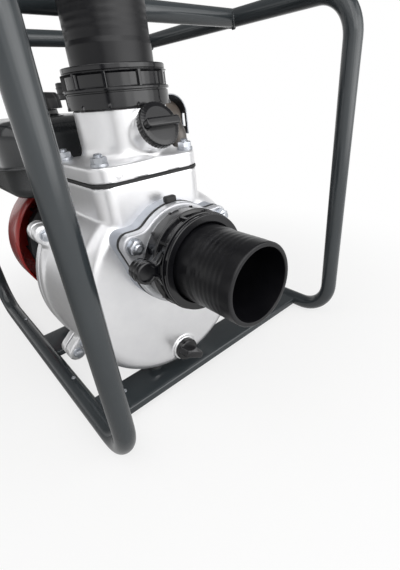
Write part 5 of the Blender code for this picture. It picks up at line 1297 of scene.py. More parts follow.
    def build(self, shop: Workshop) -> None:
        """Make the casing, its cover, bolts and drain plug.

        Args:
            shop: Where the pieces go.
        """
        casing = skin(self.shape, (-122, -166, 0), (122, self.top, self.depth + self.drain_boss), 2.0)
        shop.put("pump_casing", "casting", casing.moved(self.frame), CASTING, sharp=60, tidy=False)
        # the pad's darker blue-grey finish is painted shade on its wall
        shop.add("pump_casing_pad", "pump_casing", self.pad_surface().moved(self.frame), PAD_CASTING_PAINTED_SHADE,
                 sharp=30)
        crank = self.frame @ turned_frame(0, 0, -self.drop, -2.1)
        shop.put("rear_cover", "casting", self.cover().moved(crank), CASTING)
        shop.add("casing_bolts", "pump_casing", self.bolts().moved(self.frame), ZINC)
        seat = self.frame @ turned_frame(0, 0, -self.drain, self.depth + self.drain_boss + 0.3)
        shop.put("drain_plug", "moulding", self.drain_plug().moved(seat), NYLON, sharp=30)


@dataclass
class DischargeHead:
    """Head on the casing's neck, with its gasket, studs and priming cap. Its z goes up from the gasket."""

    frame: Array  # frame on the head's seat
    width: float = 122.0  # width of the foot
    depth: float = 103.5  # depth of the foot
    foot: float = 15.0  # height of the foot
    front_corner: float = 18.0  # corner radius of the foot in front
    rear_corner: float = 5.75  # corner radius behind
    shift: float = 4.0  # place of the discharge axis
    neck: float = 46.0  # radius of the neck
    shoulder: float = 59.7  # height of the shoulder
    spigot: float = 43.0  # radius of the spigot
    bore: float = 34.0  # radius of the bore
    tilt: float = 68.0  # lean of the priming boss in degrees
    boss: float = 16.0  # radius of the priming boss
    boss_rise: float = 3.0  # from the foot's top up to where the boss leaves the discharge axis
    reach: float = 64.0  # length of the priming boss from the discharge axis
    thread: float = 17.0  # length of the spigot
    stud: float = 11.5  # from the foot's sides in to the studs

    def plan(self, x: Array, y: Array) -> Array:
        """Distance to the foot's outline, a rectangle with larger corners in front.

        Args:
            x: Distance right of the middle.
            y: Distance behind it.

        Returns:
            Signed distances.
        """
        corner = np.where(y < 0, self.front_corner, self.rear_corner)
        qx, qy = np.abs(x) - self.width / 2 + corner, np.abs(y) - self.depth / 2 + corner
        return np.minimum(np.maximum(qx, qy), 0) + np.hypot(np.maximum(qx, 0), np.maximum(qy, 0)) - corner

    def shape(self, p: Array) -> Array:
        """Distance field: the foot with a rounded top edge, the neck and the leaning boss blended on, and
        the spigot, less the bores.

        Args:
            p: Points of shape (..., 3).

        Returns:
            Signed distances.
        """
        x, y, z = p[..., 0], p[..., 1], p[..., 2]
        reach = np.hypot(x - self.shift, y)
        body = meet(self.plan(x, y), z - self.foot, 2.8)
        body = blend(body, meet(reach - self.neck, z - self.shoulder, 1.0), 12.0)
        lean = np.radians(self.tilt)
        height = z - self.foot - self.boss_rise
        along = -y * np.sin(lean) + height * np.cos(lean)
        away = np.hypot(x - self.shift, y * np.cos(lean) + height * np.sin(lean))
        boss = np.maximum(meet(away - self.boss, along - self.reach, 1.2), 18.0 - along)
        body = blend(body, boss, 7.0)
        body = np.minimum(body, np.maximum(reach - self.spigot, z - self.shoulder - self.thread))
        body = meet(body, -z, 0.5)
        body = np.maximum(body, -np.maximum(away - 11.8, 30.0 - along))
        return np.maximum(body, self.bore - reach)

    def gasket(self) -> Surface:
        """Flat gasket with rounded edges, open in the middle.

        Returns:
            The gasket.
        """
        x, y = self.width / 2 + 0.6, self.depth / 2 + 0.6
        front, rear, band = self.front_corner, self.rear_corner, 21.8
        outer = fillet([(x, -y, front), (x, y, rear), (-x, y, rear), (-x, -y, front)], 10)
        return gasket_ring(outer, outer * (1 - 2 * band / np.array([self.width, self.depth])), 0.7)

    def priming_cap(self) -> Surface:
        """Screw cap with a knurled rim and a finger bar: the rim's radius swings with forty waves round it.

        Returns:
            The cap.
        """
        profile = fillet([(0, -16, 0), (11.5, -16, 0.8), (11.5, 0, 0), (20.0, 0, 0.8), (20.0, 8.0, 1.6),
                          (15, 9.0, 1.0), (0, 9.0, 0)], 4, closed=False)
        wave = 1 - 0.02 * (0.5 - 0.5 * np.cos(40 * turns(240)))
        radius = profile[:, :1] * np.where(profile[:, :1] > 18.5, wave, 1.0)
        return lobed(profile, radius) + slab(rectangle(36, 8, 3.4), 4.5, 16.0, 1.8)

    def build(self, shop: Workshop) -> None:
        """Make the head with the round mark of its core print, the gasket, nuts and priming cap.

        Args:
            shop: Where the pieces go.
        """
        head = skin(self.shape, (-63, -68, 0), (63, 54, self.shoulder + self.thread), 1.25)
        mark = turned([(0, 0.3, 0), (3.0, 0.3, 0.2), (3.2, 0.1, 0), (3.6, 0.1, 0), (3.8, 0.45, 0.2),
                       (4.4, 0.45, 0.2), (4.6, -1, 0), (0, -1, 0)], 3, 40)
        whole = head + mark.moved(frame_at((-38.0, -self.depth / 2, 6.4), (1, 0, 0), (0, 0, 1), 1.0))
        shop.put("discharge_head", "casting", whole.moved(self.frame), CASTING, sharp=60, tidy=False)
        shop.put("top_gasket", "sheet", self.gasket().moved(self.frame), RUBBER)
        x, y = self.width / 2 - self.stud, self.depth / 2 - self.stud
        for k, (sx, sy) in enumerate(((-1, -1), (1, -1), (1, 1), (-1, 1))):
            place = self.frame @ turned_frame(0.25 * k, sx * x, sy * y, self.foot)
            shop.put(f"head_stud_{k + 1}", "nut", stud_nut().moved(place), ZINC)
        c, s = heading(self.tilt)
        out = self.reach + 0.3
        mouth = (self.shift, -out * s, self.foot + self.boss_rise + out * c)
        seat = frame_at(mouth, (1, 0, 0), (0, c, s), 1.0)
        shop.put("priming_cap", "moulding", self.priming_cap().moved(self.frame @ seat), NYLON, sharp=30)


@dataclass
class Engine:
    """Block, covers, cylinder head, spark plug and dipstick of the engine."""

    x: float = AXIS  # place of the crankshaft's axis across
    z: float = CRANK_HEIGHT  # its height
    front: float = -9.3  # front face of the side cover
    block: float = 12.5  # front face of the block
    depth: float = 94.0  # depth of the block
    radius: float = 72.0  # radius of the crankcase
    base: float = 85.0  # half width of the base
    drop: float = 106.0  # from the crankshaft down to the base
    tilt: float = 65.0  # lean of the cylinder from upright, in degrees
    fin_half: float = 57.0  # half width of the fins
    fin_depth: float = 46.5  # half depth of the fins
    pitch: float = 8.5  # fin spacing
    fin: float = 3.0  # fin thickness
    foot: float = 14.0  # thickness of the base
    barrel: float = 66.0  # where the barrel's fins begin, along the cylinder
    head: float = 117.3  # where the cylinder head begins
    rocker: float = 151.6  # where the rocker cover begins
    filler: tuple[float, float, float] = (-125.8, 59.5, 102.9)  # mouth of the oil filler
    plug: tuple[float, float, float] = (36.6, 95.0, 251.25)  # seat of the spark plug

    def cylinder_frame(self) -> Array:
        """Frame with z along the cylinder, x across it and y back."""
        c, s = heading(self.tilt)
        return frame_at((self.x, self.block + self.depth / 2, self.z), (c, 0, -s), (0, 1, 0))

    def fins(self, start: float, count: int, root: float) -> Surface:
        """Finned barrel: a core outline, and at each fin a wider one whose edges are drawn in at both
        faces.

        Args:
            start: Height of the first fin's foot, less a gap.
            count: Number of fins.
            root: Lower end of the core.

        Returns:
            The barrel.
        """
        fin = rectangle(2 * self.fin_half, 2 * self.fin_depth, 14.0, 6)
        core = 0.78 * fin
        rings = [(core, root)]
        for k in range(count):
            foot = start + k * self.pitch + self.pitch - self.fin
            rings += [(core, foot - 0.6), (0.85 * fin, foot), (draw_in(fin, 0.9), foot + 0.3),
                      (fin, foot + 1.1), (fin, foot + self.fin - 0.9), (draw_in(fin, 0.9), foot + self.fin)]
            if k < count - 1:
                rings += [(0.85 * fin, foot + self.fin), (core, foot + self.fin + 0.7)]
        return stacked(rings, caps=True)

    def block_surface(self) -> Surface:
        """Crankcase on its base, with round edges.

        Returns:
            The crankcase.
        """
        t = np.radians(np.linspace(-38, 218, 60))
        round_top = self.radius * unit(t)
        foot, waist = self.foot - self.drop, 0.8 * self.radius
        below = fillet([(-waist, foot + 22, 0), (-waist, foot + 4, 6), (-self.base, foot, 3),
                        (-self.base, -self.drop, 2), (self.base, -self.drop, 2), (self.base, foot, 3),
                        (waist, foot + 4, 6), (waist, foot + 22, 0)], 4, closed=False)
        return slab(np.vstack((round_top, below)), -self.depth, 0, 2.2)

    def bolts(self) -> Surface:
        """Bolts of the side cover and the base.

        Returns:
            All heads.
        """
        crank = front_frame(self.x, self.front, self.z)
        ring = 71.5
        heads = []
        for a in np.radians(60 * np.arange(6) + 30):
            place = turned_frame(a, ring * np.cos(a), ring * np.sin(a), -11.2)
            heads.append(bolt_head(10.0, 5.0, 6.4).moved(crank @ place))
        base = plan_frame(self.x, self.block + self.depth / 2, self.z - self.drop + self.foot)
        for x in (-76.0, 76.0):
            heads.append(bolt_head(12.0, 6.0, 8.0).moved(base @ turned_frame(0.3, x, 0.0, -0.4)))
        return gathered(heads)

    def castings(self, shop: Workshop, filler: Array) -> None:
        """Make the block with its barrel and filler neck, the side cover and the cylinder head.

        Args:
            shop: Where the pieces go.
            filler: Frame on the oil filler's mouth.
        """
        cylinder = self.cylinder_frame()
        neck = turned([(0, -22, 0), (14, -22, 0), (14, 16, 1.5), (16, 18, 0.8), (16, 20, 0.6), (0, 20, 0)],
                      4, 48)
        block = gathered([self.block_surface().moved(front_frame(self.x, self.block, self.z)),
                          self.fins(self.barrel, 6, 28.0).moved(cylinder), neck.moved(filler)])
        shop.put("cylinder_block", "casting", block, ENGINE_CASTING)
        shop.add("engine_bolts", "cylinder_block", self.bolts(), ZINC)
        profile = fillet([(15.4, 0.2, 0), (78, 0.2, 0.6), (78, 8.4, 1.6), (68, 11.0, 3), (62.9, 21.2, 2.5),
                          (34, 21.2, 1.5), (32, 19.6, 1.0), (15.4, 19.6, 0.5)], 5)
        cover = revolve(profile, 96, looped=True).moved(front_frame(self.x, self.block - 0.3, self.z))
        shop.put("side_cover", "casting", cover, ENGINE_CASTING)
        head = self.fins(self.head, 4, self.head).moved(cylinder)
        shop.put("cylinder_head", "casting", head, ENGINE_CASTING)

    def rocker_cover(self, shop: Workshop) -> None:
        """Make the pressed rocker cover and its bolts.

        Args:
            shop: Where the pieces go.
        """
        cylinder = self.cylinder_frame()
        steps = [(-4, 0), (-4, 2.6), (-3.2, 3.4), (-0.6, 3.6), (0.2, 5.5), (2.0, 19), (3.2, 22.5),
                 (5.6, 25), (8.5, 26)]
        lid = tiers(rectangle(92, 76, 14, 8), [(inset, self.rocker + rise) for inset, rise in steps])
        shop.put("rocker_cover", "pressing", lid.moved(cylinder), ZINC)
        bolts = [bolt_head(8.0, 4.0).moved(cylinder @ turned_frame(0.4, x, y, self.rocker + 2.8))
                 for x in (-28.21, 28.21) for y in (-37.5, 37.5)]
        shop.add("rocker_cover_bolts", "rocker_cover", gathered(bolts), ZINC)

    def spark_plug(self, shop: Workshop) -> None:
        """Make the plug: an insulator whose radius swings by a cosine at its ribs, in a steel shell.

        Args:
            shop: Where the pieces go.
        """
        c, s = heading(self.tilt - 90)
        seat = frame_at(self.plug, (c, 0, -s), (0, 1, 0))
        low, rib = 20, 2.6
        h = np.linspace(low, low + 5 * rib, 40)
        ribs = np.column_stack((5.2 + 0.45 * np.cos(2 * np.pi * (h - low) / rib), h))
        ceramic = revolve(np.vstack(((0, 13.5), (5.5, 13.5), (5.5, 19), ribs, (4.2, 36), (0, 36))), 48)
        shop.put("spark_plug", "insulator", ceramic.moved(seat), CERAMIC)
        shell = gathered([rod(10, 0, 4, 48), hex_body(17.5, 3.5, 14.0, True),
                          turned([(0, 35, 0), (2.8, 35, 0), (2.8, 46, 1.0), (0, 46, 0)], 4, 32)])
        shop.add("spark_plug_shell", "spark_plug", shell.moved(seat), ZINC)

    def dipstick(self) -> Surface:
        """Oil plug with ten grip notches: its head's radius dips by a power of a sine.

        Returns:
            The plug.
        """
        profile = fillet([(0, -14.5, 0), (6.8, -14.5, 0.6), (6.8, 20.3, 0), (14.6, 20.3, 0.8),
                          (15.2, 26, 2), (14.0, 31.5, 2.5), (0, 32, 0)], 4, closed=False)
        notch = 1 - 0.06 * np.abs(np.sin(5 * turns(160))) ** 6
        return lobed(profile, profile[:, :1] * np.where(profile[:, :1] > 13.5, notch, 1.0))

    def build(self, shop: Workshop) -> None:
        """Make the engine's castings and small pieces.

        Args:
            shop: Where the pieces go.
        """
        filler = frame_at(self.filler, (0.6428, 0, 0.7660), (0, 1, 0))
        self.castings(shop, filler)
        self.rocker_cover(shop)
        self.spark_plug(shop)
        shop.put("dipstick", "moulding", self.dipstick().moved(filler), TEXTURED_PLASTIC)


@dataclass
class Starter:
    """Fan shroud, recoil cover, starter grip and engine switch."""

    x: float = AXIS  # place of the crankshaft's axis across
    z: float = CRANK_HEIGHT  # its height
    shroud: float = 106.8  # front edge of the shroud
    depth: float = 56.0  # depth of the shroud
    radius: float = 100.0  # radius of the shroud
    inlet: float = 72.0  # radius of its inlet
    cover: float = 163.1  # front edge of the recoil cover
    cover_radius: float = 86.0  # radius of the recoil cover
    cover_depth: float = 48.0  # its depth
    slots: int = 16  # number of cooling slots
    screws: float = 81.5  # from the axis to the cover's screws
    guide: tuple[float, float, float] = (-16.265, 209.312, 209.035)  # mouth of the rope guide

    def shroud_surface(self) -> Surface:
        """Housing with a square duct corner: each outline point goes back along the wall, over a round edge
        and in to the inlet along its own radius.

        Returns:
            The open sheet.
        """
        r, edge = self.radius, 5.0
        t = np.linspace(np.pi / 2, 2 * np.pi, 72)
        corner = fillet([(r, 0, 0), (r, r, 20), (0, r, 0)], 10, closed=False)
        side = np.linspace(corner[0], corner[1], 10, endpoint=False)[1:]
        over = np.linspace(corner[-2], corner[-1], 10)[1:-1]
        outline = np.vstack((r * unit(t), side, corner[1:-1], over))
        inner = outline / np.linalg.norm(outline, axis=1)[:, None] * self.inlet
        rings = [(outline, 0.0), (outline, 20.0)]
        for q in np.linspace(0, np.pi / 2, 7):
            rings.append((draw_in(outline, edge * (1 - np.cos(q))), self.depth - edge * (1 - np.sin(q))))
        face = draw_in(outline, edge)
        rings += [(face + (inner - face) * s, self.depth) for s in (0.3, 0.6, 0.9, 1.0)]
        return stacked([(ring * (-1, 1), height) for ring, height in rings])

    def cover_surface(self) -> Surface:
        """Dished cover turned from a profile, with slots left open on its face: a cell of the grid stays
        where its turn is in a bar or its ring is outside the slots.

        Returns:
            The open sheet.
        """
        r, d = self.cover_radius, self.cover_depth
        slot_in, slot_out, cells = 27, 52, 12
        line = fillet([(r, 0, 0), (r, 3.2, 1.0), (r - 6, 5.4, 2.0), (r - 9, d - 10, 7.0),
                       (r - 20, d - 0.5, 5.0), (58, d, 0), (slot_out, d, 0), (slot_in, d, 0), (22, d, 0),
                       (16, d - 1.2, 3.0), (0, d - 1.2, 0)], 6, closed=False)
        count = cells * self.slots
        middle = (line[:-1] + line[1:]) / 2
        face = (middle[:, 0] > slot_in) & (middle[:, 0] < slot_out) & (middle[:, 1] > d - 0.6)
        cell = np.arange(count) % cells
        keep = ~(face[:, None] & ((cell > 2) & (cell < 9))[None])
        return lobed(line, np.broadcast_to(line[:, :1], (len(line), count)), keep=keep)

    def grip(self) -> Surface:
        """Starter grip: round sections along x whose radius dips between the fingers, on a short stem.

        Returns:
            The grip.
        """
        half, middle, flat = 43, 18.7, 0.86
        u = np.linspace(-1, 1, 61)[:, None]
        radius = (10.2 + 0.6 * np.cos(3 * np.pi * u)) * np.maximum(1 - u ** 14, 0.0) ** 0.5 + 0.02
        ring = circle(1.0, 36)
        points = np.stack((half * u * np.ones(36), radius * ring[:, 0] * flat,
                           radius * ring[:, 1] + middle), -1)
        stem = turned([(0, 0, 0), (8, 0, 0.6), (6.2, 8, 4), (6.8, 15.4, 0), (0, 15.4, 0)], 5, 40)
        return net(points, caps=True) + stem

    def build(self, shop: Workshop) -> None:
        """Make the shroud, recoil cover, grip and switch.

        Args:
            shop: Where the pieces go.
        """
        shell = self.shroud_surface().moved(back_frame(self.x, self.shroud, self.z))
        shop.put("fan_shroud", "pressing", shell, ENGINE_PAINT, wall=2.0)
        cover = back_frame(self.x, self.cover, self.z)
        shop.put("recoil_cover", "pressing", self.cover_surface().moved(cover), ENGINE_PAINT, wall=2.0)
        guide = frame_at(self.guide, (1, 0, 0), (0, 1, -1))
        profile = fillet([(8.4, -22, 0), (11, -22, 0), (11, -3, 0), (12.2, -2, 1), (12.2, -0.6, 1),
                          (8.4, -0.6, 0.8)], 4)
        eye = revolve(profile, 48, looped=True)
        shop.add("recoil_rope_guide", "recoil_cover", eye.moved(guide), TEXTURED_PLASTIC)
        screws = []
        for a in np.radians(30 + 120 * np.arange(3)):
            place = turned_frame(a, self.screws * np.cos(a), self.screws * np.sin(a), 4.4)
            screws.append(bolt_head(8.0, 4.0, 6.0).moved(cover @ place))
        shop.add("recoil_cover_screws", "recoil_cover", gathered(screws), ZINC)
        shop.put("recoil_handle", "moulding", self.grip().moved(guide), TEXTURED_PLASTIC)
        knob = turned([(0, 0.3, 0), (11, 0.3, 0.6), (11, 5, 1.5), (9.4, 10, 1.5), (0, 10, 0)], 4, 48)
        bar = slab(rectangle(17.6, 5.4, 1.6), 6, 15, 1.0)
        switch = (knob + bar).moved(back_frame(22.0, 162.8, 225.5))
        shop.put("engine_switch", "moulding", switch, TEXTURED_PLASTIC)


@dataclass
class FuelTank:
    """Pressed tank with a rolled seam, filler neck and cap."""

    frame: Array  # frame under the tank's middle
    width: float = 146.0  # width of the tank
    length: float = 166.0  # length of the tank
    corner: float = 32.0  # corner radius in plan
    seam: float = 36.0  # height of the seam
    top: float = 86.0  # height of the top
    cap: float = 31.0  # radius of the cap

    def body(self) -> Surface:
        """Tank shell: the plan outline drawn in over round bottom and top edges, with the seam let out
        between.

        Returns:
            The tank.
        """
        outline = rectangle(self.width, self.length, self.corner, 10)
        a = np.linspace(0, np.pi / 2, 8)
        base, crown = 13, 20
        levels = [(base * (1 - np.cos(q)), base * (1 - np.sin(q))) for q in a[::-1]]
        seam = [(0, 3), (-0.6, 1.6), (-5.4, 1.3), (-6.0, 0.5)]
        levels += [(inset, self.seam - rise) for inset, rise in seam]
        levels += [(inset, self.seam + rise) for inset, rise in seam[::-1]]
        levels += [(crown * (1 - np.cos(q)), self.top - 2 - crown * (1 - np.sin(q))) for q in a]
        levels += [(24.0, self.top - 1.4), (28.0, self.top - 1.0)]
        neck = turned([(0, 74, 0), (30, 74, 0), (30, 84.0, 2), (24.5, 86.4, 1.0), (24, 92, 0.6),
                       (0, 92, 0)], 4, 72)
        posts = [rod(7, -36, 8, 24).moved(turned_frame(0, x, -39.1)) for x in (-3.5, 56.5)]
        return gathered([tiers(outline, levels), neck, *posts])

    def cap_surface(self) -> Surface:
        """Cap with finger lobes: the radius dips by a power of a cosine at each of eight places.

        Returns:
            The cap.
        """
        profile = fillet([(0, 92.3, 0), (self.cap, 92.3, 0.8), (self.cap, 104.0, 2.0),
                          (self.cap - 3.4, 110.5, 2.5), (12, 112.0, 2.0), (0, 111.2, 0)], 5, closed=False)
        dip = np.abs(np.cos(4 * turns(256))) ** 10
        return lobed(profile, profile[:, :1] - 1.8 * dip * (profile[:, :1] > 24))

    def build(self, shop: Workshop) -> None:
        """Make the tank and its cap.

        Args:
            shop: Where the pieces go.
        """
        shop.put("fuel_tank", "pressing", self.body().moved(self.frame), TANK_PAINT)
        shop.put("fuel_cap", "moulding", self.cap_surface().moved(self.frame), TEXTURED_PLASTIC)


@dataclass
class Exhaust:
    """Muffler with its pipe and guard. Its frame is under the muffler's middle: x right, y back, z up."""

    frame: Array  # that frame
    width: float = 98.0  # width of the muffler
    length: float = 76.0  # length of the muffler
    height: float = 62.0  # height of the muffler
    corner: float = 24.0  # corner radius of its section
    offset: float = 6.0  # gap under the guard
    slots: int = 5  # number of slots in the guard
    screw: float = 16.3  # from the middle to the guard's screws
    port: tuple[float, float, float] = (12.85, -38.3, -72.7)  # middle of the pipe's flange

    def muffler(self) -> Surface:
        """Muffler drawn along y with round ends and a rolled seam, and a pipe swept through two bends.

        Returns:
            The muffler.
        """
        outline = rectangle(self.width, self.height, self.corner, 10) + (0, self.height / 2)
        half = self.length / 2
        levels = edge_levels(-half, half, 7.0, 7.0, 6)
        seam = [(0, -2.4), (-1.0, -1.6), (-1.0, 1.6), (0, 2.4)]
        can = tiers(outline, levels[:7] + seam + levels[7:])
        x, y, z = self.port
        back, rise, bend = -68, 31, 18
        line = fillet([(y, z, 0), (back, z, bend), (back, rise, bend), (-28, rise, 0)], 12, closed=False)
        pipe = sweep(circle(12.0, 32), np.column_stack((np.full(len(line), x), line)), (1, 0, 0))
        flange = slab(rectangle(46, 30, 12), 0, 5.0, 0.8)
        shapes = [can.moved(frame_at((0, 0, 0), (1, 0, 0), (0, 0, 1), 1.0)), pipe,
                  flange.moved(frame_at((x, y - 0.1, z), (1, 0, 0), (0, 0, 1), 1.0))]
        shapes += [rod(3.2, 58, 67.7, 20).moved(turned_frame(0, x)) for x in (-self.screw, self.screw)]
        return gathered(shapes)

    def guard(self) -> Surface:
        """Sheet guard over the muffler: an arch of the muffler's section carried along y, with the cells
        inside the slots left open.

        Returns:
            The open sheet.
        """
        gap, skirt, edge, cells = self.offset + 1.5, 13.6, 31.5, 10
        outer, roof = self.width / 2 + gap, self.height + gap
        arch = fillet([(-outer, skirt, 0), (-outer, roof, edge), (outer, roof, edge), (outer, skirt, 0)],
                      12, closed=False)
        line = np.vstack([
            np.linspace(arch[0], arch[1], 9)[:-1], arch[1:13], np.linspace(arch[13], arch[14], 21),
            arch[15:-2], np.linspace(arch[-2], arch[-1], 9)])
        line = line[np.r_[True, np.linalg.norm(np.diff(line, axis=0), axis=1) > 0.05]]
        v = np.linspace(-self.length / 2, self.length / 2, cells * self.slots + 1)
        wide = np.ones((len(line), len(v)))
        points = np.stack((line[:, :1] * wide, v * wide, line[:, 1:] * wide), -1)
        middle = (line[:-1] + line[1:]) / 2
        cell = np.arange(len(v) - 1) % cells
        open_row = (np.abs(middle[:, 0]) < 15.5) & (middle[:, 1] > roof - 1)
        vent = (middle[:, 1] > 26) & (middle[:, 1] < 42) & (np.abs(middle[:, 0]) > outer - 1)
        keep = ~((open_row | vent)[:, None] & ((cell > 2) & (cell < 7))[None])
        return net(points, loop_v=False, keep=keep)

    def build(self, shop: Workshop) -> None:
        """Make the muffler and its guard.

        Args:
            shop: Where the pieces go.
        """
        shop.put("muffler", "pressing", self.muffler().moved(self.frame), HOT_STEEL)
        shop.put("muffler_guard", "sheet", self.guard().moved(self.frame), ZINC, wall=1.4)
        screws = [pan_screw(4.4, 2.4).moved(turned_frame(0, x, 0, 69.3)) for x in (-self.screw, self.screw)]
        shop.add("muffler_guard_screws", "muffler_guard", gathered(screws).moved(self.frame), ZINC)


@dataclass
class Intake:
    """Carburettor, air cleaner and hand levers."""

    x: float = 66.853  # middle of the carburettor across
    front: float = 106.3  # its front face
    z: float = 203.32  # its middle height
    width: float = 44.0  # width of the carburettor
    depth: float = 32.0  # its depth
    height: float = 38.0  # its height
    cleaner: tuple[float, float] = (108.0, 94.0)  # plan size of the air cleaner
    corner: float = 22.0  # its corner radius
    floor: float = 264.0  # height of its base

    def carburettor(self) -> Surface:
        """Carburettor: a body with round edges between two flanges, a float bowl below and its screws.

        Returns:
            The carburettor.
        """
        body = slab(rectangle(self.width - 6, self.height - 6, 9), -self.depth + 3, -3, 2.0)
        plates = [slab(rectangle(self.width, self.height, 8), a, a + 4.6, 0.8) for a in (-self.depth, -4.6)]
        bowl = turned([(0, -41, 0), (9, -41, 2), (14.6, -37, 5), (15.1, -22, 0.8), (16.2, -21, 0.5),
                       (16.2, -18, 0.5), (13, -16, 0), (0, -10, 0)], 4, 56)
        hung = gathered([bowl, hex_body(8.0, -44.5, -40.0), rod(4, 16, 18.9, 24)])
        upright = frame_at((0, 0, -self.depth / 2), (1, 0, 0), (0, 0, -1), 1.0)
        return gathered([body, *plates, hung.moved(upright)])

    def cleaner_cover(self) -> Surface:
        """Cover with a stepped skirt and a crowned top.

        Returns:
            The cover.
        """
        outline = rectangle(*self.cleaner, self.corner, 10)
        return tiers(outline, [(0, 0), (0, 9), (0.5, 9.9), (2.6, 10.3), (3.0, 11.4), (4.6, 44), (5.2, 49),
                               (7.4, 54), (11.5, 57), (17.5, 58)])

    def cleaner_knob(self) -> Surface:
        """Knob with ten finger notches: its rim's radius dips by a power of a cosine.

        Returns:
            The knob.
        """
        profile = fillet([(0, 0.2, 0), (9.6, 0.2, 0), (9.6, 6, 2), (16, 8, 0.8), (16, 16, 1.6),
                          (12, 18, 1.5), (0, 18, 0)], 4, closed=False)
        notch = 1.1 * np.abs(np.cos(5 * turns(200))) ** 8
        return lobed(profile, profile[:, :1] - notch * (profile[:, :1] > 13))

    def lever(self, length: float) -> Surface:
        """Flat lever with a round pivot end and a padded thumb end.

        Args:
            length: From the pivot to the thumb end.

        Returns:
            The lever.
        """
        waist = length * 0.55
        outline = fillet([(-6.2, -6.2, 6), (6.2, -6.2, 6), (4.6, waist, 20), (6.6, length, 5),
                          (-6.6, length, 5), (-4.6, waist, 20)], 6)
        thumb = slab(rectangle(12.6, 9, 3) + (0, length - 5), 1.0, 5.6, 1.2)
        pivot = bolt_head(8.0, 2.8).moved(turned_frame(0.2, 0, 0, 2.9))
        return gathered([slab(outline, 0, 3, 0.7), thumb, pivot])

    def build(self, shop: Workshop) -> None:
        """Make the carburettor, the air cleaner and the levers.

        Args:
            shop: Where the pieces go.
        """
        carb = front_frame(self.x, self.front, self.z)
        shop.put("carburettor", "casting", self.carburettor().moved(carb), DIE_CASTING)
        middle = self.front + self.cleaner[1] / 2
        base = plan_frame(self.x, middle, self.floor)
        tray = slab(rectangle(*self.cleaner, self.corner, 10), 0, 14, 1.6)
        throat = rectangle(0.8 * self.width, 0.8 * self.depth, 8) + (0, (self.depth - self.cleaner[1]) / 2)
        duct = tiers(throat, [(0, -41.3), (0, -38), (2.5, -36), (2.5, -8), (-4, 2)])
        shop.put("air_cleaner_base", "moulding", gathered([tray, duct]).moved(base), TEXTURED_PLASTIC)
        cover = plan_frame(self.x, middle, self.floor + 14.3)
        shop.put("air_cleaner_cover", "moulding", self.cleaner_cover().moved(cover), TEXTURED_PLASTIC)
        top = plan_frame(self.x, middle, self.floor + 72.6)
        shop.put("air_cleaner_knob", "moulding", self.cleaner_knob().moved(top), NYLON)
        self.controls(shop)

    def controls(self, shop: Workshop) -> None:
        """Make the control bracket and the three levers, each leaning back by its own angle.

        Args:
            shop: Where the pieces go.
        """
        plate = frame_at((39.3, 148.8, 217.5), (0, 1, 0), (0, 0, 1))
        shop.put("control_bracket", "sheet", slab(rectangle(26, 46, 6), 0, 3, 0.6).moved(plate), ZINC)
        side = self.x + self.width / 2 + 0.3
        for node, place, length, lean in (("throttle_lever", (42.6, 148.8, 217.5), 52.0, 70.0),
                                          ("choke_lever", (side, 122.3, 214.32), 30.0, 20.0),
                                          ("fuel_valve_lever", (side, 122.3, 192.32), 28.0, 90.0)):
            c, s = heading(lean)
            lever = self.lever(length).moved(frame_at(place, (0, c, -s), (0, s, c)))
            shop.put(node, "moulding", lever, TEXTURED_PLASTIC)


